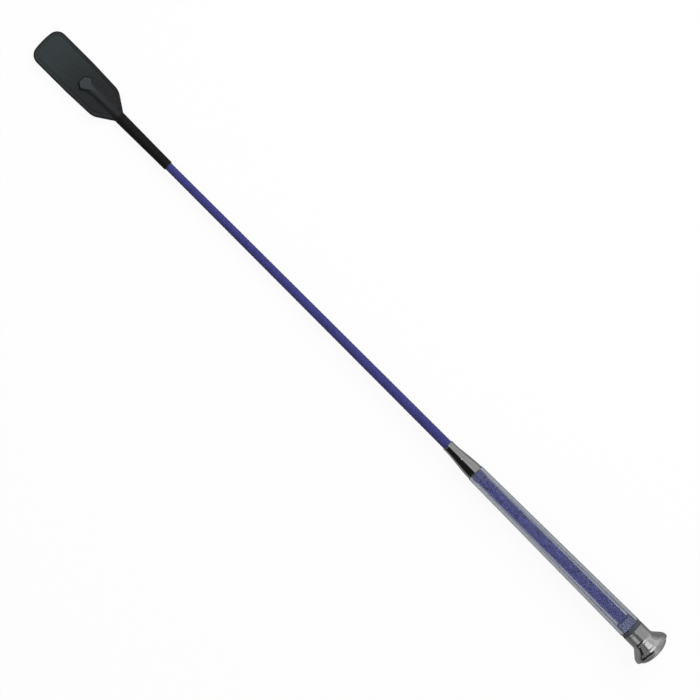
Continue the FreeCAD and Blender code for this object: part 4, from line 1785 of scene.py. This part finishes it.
    def close(self, mesh: bpy.types.Mesh) -> None:
        """Merge the two middle lines' doubled points and turn the faces outwards.

        Args:
            mesh: The leather's mesh.
        """
        with editing(mesh) as work:
            bmesh.ops.remove_doubles(work, verts=work.verts, dist=0.004 * MM)
            bmesh.ops.dissolve_degenerate(work, edges=work.edges, dist=0.001 * MM)
            self.refine(work)
            bmesh.ops.recalc_face_normals(work, faces=work.faces)
        shade_smooth(mesh)

    def refine(self, work: bmesh.types.BMesh) -> None:
        """Divide the faces round the lozenge and lift the new points to their true height.

        Args:
            work: The leather's editable form.
        """
        rear = self.places["guard_front"] - self.lozenge_length - self.refined_margin
        front = self.places["guard_front"] + self.refined_margin
        side = self.lozenge_half_width + self.refined_margin

        def is_near(point: Vector) -> bool:
            """Whether a point lies round the lozenge."""
            return rear < point.x < front and abs(point.y) < side

        edges = [edge for edge in work.edges if all(is_near(corner.co) for corner in edge.verts)]
        bmesh.ops.subdivide_edges(work, edges=edges, cuts=2, use_grid_fill=True)
        for corner in work.verts:
            if is_near(corner.co):
                height = self.height(corner.co.x, corner.co.y, side)
                corner.co.z = math.copysign(height, corner.co.z)

    def mark_lozenge(self, mesh: bpy.types.Mesh) -> None:
        """Store where the lozenge's top and the foot of its front lie, which take a painted highlight
        and painted shade.

        Args:
            mesh: The leather's mesh.
        """
        crest, foot = [], []
        rear, front = self.places["guard_rear"], self.places["guard_front"]
        for corner in mesh.vertices:
            depth = self.lozenge_depth(corner.co.x, corner.co.y)
            # painted highlight on the lozenge's top
            crest.append(smooth(-0.35 * MM, 0.15 * MM, depth))
            # painted shade in the crease at the foot of the lozenge's front
            band = smooth(-2.0 * MM, -1.4 * MM, depth) * (1 - smooth(-0.5 * MM, -0.1 * MM, depth))
            foot.append(band * smooth(rear + 3 * MM, front - 1.0 * MM, corner.co.x))
        for name, values in (("crest", crest), ("foot", foot)):
            mesh.attributes.new(name, "FLOAT", "POINT").data.foreach_set("value", values)

    def build_seam(self, outline: Sequence[Vector], material: bpy.types.Material) -> bpy.types.Object:
        """Sew both faces with a line of stitches that follows the edge.

        Args:
            outline: The keeper's edge in plan.
            material: The thread's finish.

        Returns:
            The seam as one piece.
        """
        front = self.sew(outline, Face.FRONT, material)
        back = self.sew(outline, Face.BACK, material)
        with editing(front.data) as work:
            work.from_mesh(back.data)
        bpy.data.objects.remove(back)
        front.name = front.data.name = "keeper_seam"
        return front

    def seam_line(self, outline: Sequence[Vector], face: Face) -> bpy.types.Mesh:
        """The line that the stitches follow, in the seam's channel, from shoulder to shoulder.

        Args:
            outline: The keeper's edge in plan.
            face: The face that is sewn.

        Returns:
            The line as a mesh of edges.
        """
        start = self.places["throat"] + self.seam_start
        places = []
        for point, normal in zip(outline, self.inward(outline)):
            sewn = point + normal * self.seam_inset
            if sewn.x > start:
                up = self.height(sewn.x, sewn.y, self.seam_inset)
                places.append((sewn.x, sewn.y, face.value * up))
        mesh = bpy.data.meshes.new("seam_line")
        mesh.from_pydata(places, [(n, n + 1) for n in range(len(places) - 1)], [])
        return mesh

    def sew(
        self, outline: Sequence[Vector], face: Face, material: bpy.types.Material
    ) -> bpy.types.Object:
        """Place a stitch at every step of one face's seam line.

        Args:
            outline: The keeper's edge in plan.
            face: The face that is sewn.
            material: The thread's finish.

        Returns:
            The stitches as one piece.
        """
        part = PartTree(f"seam_{face.name.lower()}")
        pitch = part.size("Pitch", self.stitch_pitch)
        length = part.size("Length", self.stitch_length)
        width = part.size("Width", self.stitch_width)
        side = part.size("Face", float(face.value))
        wide, high, share = part.section()
        centred = share * 2.0 - 1.0
        round_end = (1.0 - centred.size() ** 3.0).high(0.02).root()
        arch = (1.0 - centred * centred) * width * self.stitch_arch - width * self.stitch_sink
        lay = merge(part.tree, wide, share * length, 0.0)
        marked = part.remember(part.rod(8, 10), "lay", "FLOAT_VECTOR", "POINT", lay)
        stitch = part.move(marked, merge(
            part.tree,
            centred * (length / 2.0),
            wide * round_end * (width / 2.0) + centred * (width * self.stitch_slant),
            (arch + high * round_end * (width * self.stitch_height)) * side,
        ))
        curve = part.node("GeometryNodeMeshToCurve", inputs={"Mesh": part.source.outputs["Geometry"]})
        even = part.node("GeometryNodeResampleCurve", {"mode": "LENGTH"},
                         {"Curve": curve.outputs[0], "Length": pitch})
        tangent = part.node("GeometryNodeInputTangent")
        ahead, sideways, _ = split(part.tree, tangent.outputs[0])
        heading = ahead.math("ARCTAN2", sideways, ahead)
        sewn = part.node("GeometryNodeInstanceOnPoints", inputs={
            "Points": even.outputs[0], "Instance": stitch,
            "Rotation": merge(part.tree, 0.0, 0.0, heading)})
        return part.piece(f"seam_{face.name.lower()}", sewn.outputs[0], material,
                          self.seam_line(outline, face))


# ---- studio --------------------------------------------------------------------------------------
class RayKinds:
    """The kinds of ray that reach the table or the surroundings."""

    def __init__(self, tree: bpy.types.NodeTree) -> None:
        """Read the kinds.

        Args:
            tree: The tree that asks for them.
        """
        paths = place(tree, "ShaderNodeLightPath")
        self.camera = Field(tree, paths.outputs["Is Camera Ray"])
        self.glossy = Field(tree, paths.outputs["Is Glossy Ray"])
        self.through = Field(tree, paths.outputs["Is Transmission Ray"])
        self.bounced = Field(tree, paths.outputs["Diffuse Depth"]).low(1.0)


@dataclass(frozen=True)
class TableGreys:
    """How bright the table looks to metal."""

    pale: float = 0.34
    pale_loss: float = 0.14
    dark: float = 0.21
    dark_loss: float = 0.07
    dark_loss_ahead: float = 0.12
    behind: float = 0.5


@dataclass(frozen=True)
class RoomGreys:
    """How bright each part of the room looks to metal."""

    gloom: float = 0.010
    wall: float = 0.21
    wall_mottle: float = 0.24
    far_wall: float = 0.05
    far_mottle: float = 0.20
    near_wall: float = 0.11
    strip: float = 0.27
    strip_tail: float = 0.02
    window: float = 0.85
    back_window: float = 0.5


@dataclass
class Studio:
    """A white table under soft light, seen from straight above the middle of the crop."""

    middle: float = 303.0 * MM
    beside: float = 1.30 * MM
    lens: float = 100.0
    view_width: float = 524.0 * MM
    sensor: float = 36.0
    heading: tuple[float, float] = (-0.70738, -0.70683)
    rest_gap: float = 0.15 * MM
    table_reach: float = 4.0
    table_white: float = 0.92
    table_glow: float = 0.93
    sky: float = 0.35
    key_power: float = 17.0
    fill_share: float = 0.16
    inner_light: float = 2.0
    overhead_loss: float = 0.8
    table_greys: TableGreys = TableGreys()
    room_greys: RoomGreys = RoomGreys()

    def build(self) -> None:
        """Set up the camera, the table, the lamps and the surroundings."""
        self.build_camera()
        self.build_table()
        self.build_lamps()
        self.build_world()
        bpy.context.scene.view_settings.view_transform = "Standard"

    def build_camera(self) -> None:
        """Look straight down, with the keeper at the upper left."""
        camera = bpy.data.cameras.new("overhead_camera")
        camera.lens = self.lens
        camera.sensor_width = self.sensor
        camera.clip_end = 20.0
        viewer = add_object("overhead_camera", camera)
        across, up = self.heading, (-self.heading[1], self.heading[0])
        turn = Matrix(((across[0], up[0], 0), (across[1], up[1], 0), (0, 0, 1))).to_4x4()
        distance = self.view_width * self.lens / self.sensor
        viewer.matrix_world = Matrix.Translation((self.middle, self.beside, distance)) @ turn
        bpy.context.scene.camera = viewer

    def build_table(self) -> None:
        """Lay the white table under the pommel's rim and the keeper's ridge."""
        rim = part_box("pommel_flare")
        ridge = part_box("keeper_neck_back")
        low = Vector((rim[0].x + 1.5 * MM, 0, rim[0].z - self.rest_gap))
        high = Vector((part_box("tip_guard")[0].x, 0, ridge[0].z - self.rest_gap))
        slope = (high - low).normalized() * self.table_reach
        side = Vector((0, self.table_reach, 0))
        corners = [low - slope - side, low + slope - side, low + slope + side, low - slope + side]
        mesh = bpy.data.meshes.new("table")
        mesh.from_pydata([tuple(corner) for corner in corners], [], [(0, 1, 2, 3)])
        mesh.materials.append(self.table_material())
        table = add_object("table", mesh)
        table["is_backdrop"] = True

    def table_material(self) -> bpy.types.Material:
        """White to the eye and through the tube, with a faint shadow, and in greys to metal.

        Metal mirrors a paler table on the -Y side and, past a few centimetres, a dark one on the
        +Y side, less dark beside the pommel.

        Returns:
            The table's material.
        """
        material = bpy.data.materials.new("white_table")
        material.use_nodes = True
        tree = material.node_tree
        tree.nodes.clear()
        greys = self.table_greys
        along, across, _ = split(tree, place(tree, "ShaderNodeTexCoord").outputs["Object"])
        pale = greys.pale - across.ramp(-0.110, -0.050) * greys.pale_loss
        loss = along.ramp(0.04, 0.10) * greys.dark_loss_ahead + greys.dark_loss
        dark = greys.dark - across.ramp(0.045, 0.100) * loss
        side = across.ramp(0.004, 0.024)
        beside = (across / along.size().high(0.02)).size().fall(0.16, 0.34)
        behind = along.fall(-0.080, -0.040) * beside
        shade = (pale * (1.0 - side) + dark * side).high(behind * greys.behind)
        ray = RayKinds(tree)
        inside = ray.through * (1.0 - ray.camera) * (ray.bounced * self.inner_light + 1.0)
        strength = ray.camera + ray.glossy * shade * (1.0 - ray.through) + inside
        glow = place(tree, "ShaderNodeEmission", inputs={"Color": (1, 1, 1, 1), "Strength": strength})
        paint = place(tree, "ShaderNodeBsdfDiffuse", inputs={"Color": (*[self.table_white] * 3, 1)})
        amount = (ray.camera * self.table_glow + ray.glossy + ray.through).low(1.0)
        mixed = place(tree, "ShaderNodeMixShader", inputs={
            0: amount, 1: paint.outputs[0], 2: glow.outputs[0]})
        place(tree, "ShaderNodeOutputMaterial", inputs={"Surface": mixed.outputs[0]})
        return material

    def build_lamps(self) -> None:
        """Hang one large soft lamp on the -Y side and a weak one opposite."""
        for name, spot, wide, power in (
            ("key_lamp", Vector((self.middle, -0.90, 1.00)), 1.2, self.key_power),
            ("fill_lamp", Vector((self.middle, 0.90, 1.10)), 1.0, self.key_power * self.fill_share),
        ):
            lamp = bpy.data.lights.new(name, "AREA")
            lamp.energy = power
            lamp.size = wide
            holder = add_object(name, lamp)
            aim = (Vector((self.middle, 0, 0)) - spot).to_track_quat("-Z", "Y")
            holder.matrix_world = Matrix.Translation(spot) @ aim.to_matrix().to_4x4()
            holder.visible_glossy = False
            holder.visible_transmission = False

    def build_world(self) -> None:
        """White behind the crop, plain light on it, and a studio for metal to mirror."""
        world = bpy.data.worlds.new("studio")
        bpy.context.scene.world = world
        world.use_nodes = True
        tree = world.node_tree
        tree.nodes.clear()
        ray = RayKinds(tree)
        way = place(tree, "ShaderNodeTexCoord").outputs["Generated"]
        up = split(tree, way)[2]
        overhead = up.ramp(0.25, 0.60) * (1.0 - ray.bounced) * self.overhead_loss
        seen_through = ray.through * (1.0 - overhead + ray.bounced * self.inner_light)
        plain = (1.0 - (ray.camera + ray.glossy + ray.through).low(1.0)) * self.sky
        mirrored = ray.glossy * self.mirrored_room(tree, way) * (1.0 - ray.through)
        strength = ray.camera + seen_through + mirrored + plain
        back = place(tree, "ShaderNodeBackground", inputs={"Color": (1, 1, 1, 1), "Strength": strength})
        place(tree, "ShaderNodeOutputWorld", inputs={"Surface": back.outputs[0]})

    def mirrored_room(self, tree: bpy.types.NodeTree, way: bpy.types.NodeSocket) -> Field:
        """Build what metal mirrors: three walls, a leaning strip lamp and three windows.

        Args:
            tree: The world's tree.
            way: The direction in which the ray leaves.

        Returns:
            How bright the room is that way.
        """
        greys = self.room_greys
        ahead, across, up = split(tree, way)
        broad, fine = (
            Field(tree, place(tree, "ShaderNodeTexNoise", inputs={
                "Vector": way, "Scale": scale, "Detail": 2.0}).outputs[0])
            for scale in (3.5, 9.0)
        )
        wall = across.fall(-0.06, 0.10) * (broad * greys.wall_mottle + greys.wall)
        far_wall = ahead.ramp(0.18, 0.45) * (fine.ramp(0.38, 0.62) * greys.far_mottle + greys.far_wall)
        near_wall = (ahead + 0.14).fall(0.0, 0.05) * across.ramp(0.0, 0.12) * greys.near_wall
        leaning = (ahead + 0.20).size().fall(0.04, 0.09) * across.ramp(0.46, 0.58)
        strip = leaning * (across.fall(0.84, 0.93) * greys.strip + greys.strip_tail)
        beside = ((across + 0.05) / ahead.size().high(0.05)).size().fall(0.16, 0.34)
        low_window = beside * ahead.ramp(0.3, 0.5) * up.between(0.02, 0.10, 0.36, 0.42)
        wide = (across + 0.05).size().fall(0.28, 0.42)
        high_window = wide * ahead.between(0.24, 0.30, 0.66, 0.76) * up.ramp(0.3, 0.5)
        back_window = beside * (0.0 - ahead).ramp(0.05, 0.20) * up.between(0.36, 0.48, 0.93, 0.97)
        windows = low_window.high(high_window) * greys.window
        lit = windows.high(back_window * greys.back_window)
        return (wall + far_wall + near_wall + strip + greys.gloom).high(lit)


def main() -> None:
    """Build the studio and every sub-assembly."""
    logging.basicConfig(level=logging.INFO, format="%(message)s")
    finishes = Finishes()
    Studio().build()
    Pommel().build(finishes)
    Grip().build(finishes)
    Ferrule().build(finishes)
    Shaft().build(finishes)
    Binding().build(finishes)
    Keeper().build(finishes)
    boxes = [[list(corner) for corner in box] for box in (CAD_BOUNDS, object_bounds())]


if __name__ == "__main__":
    main()
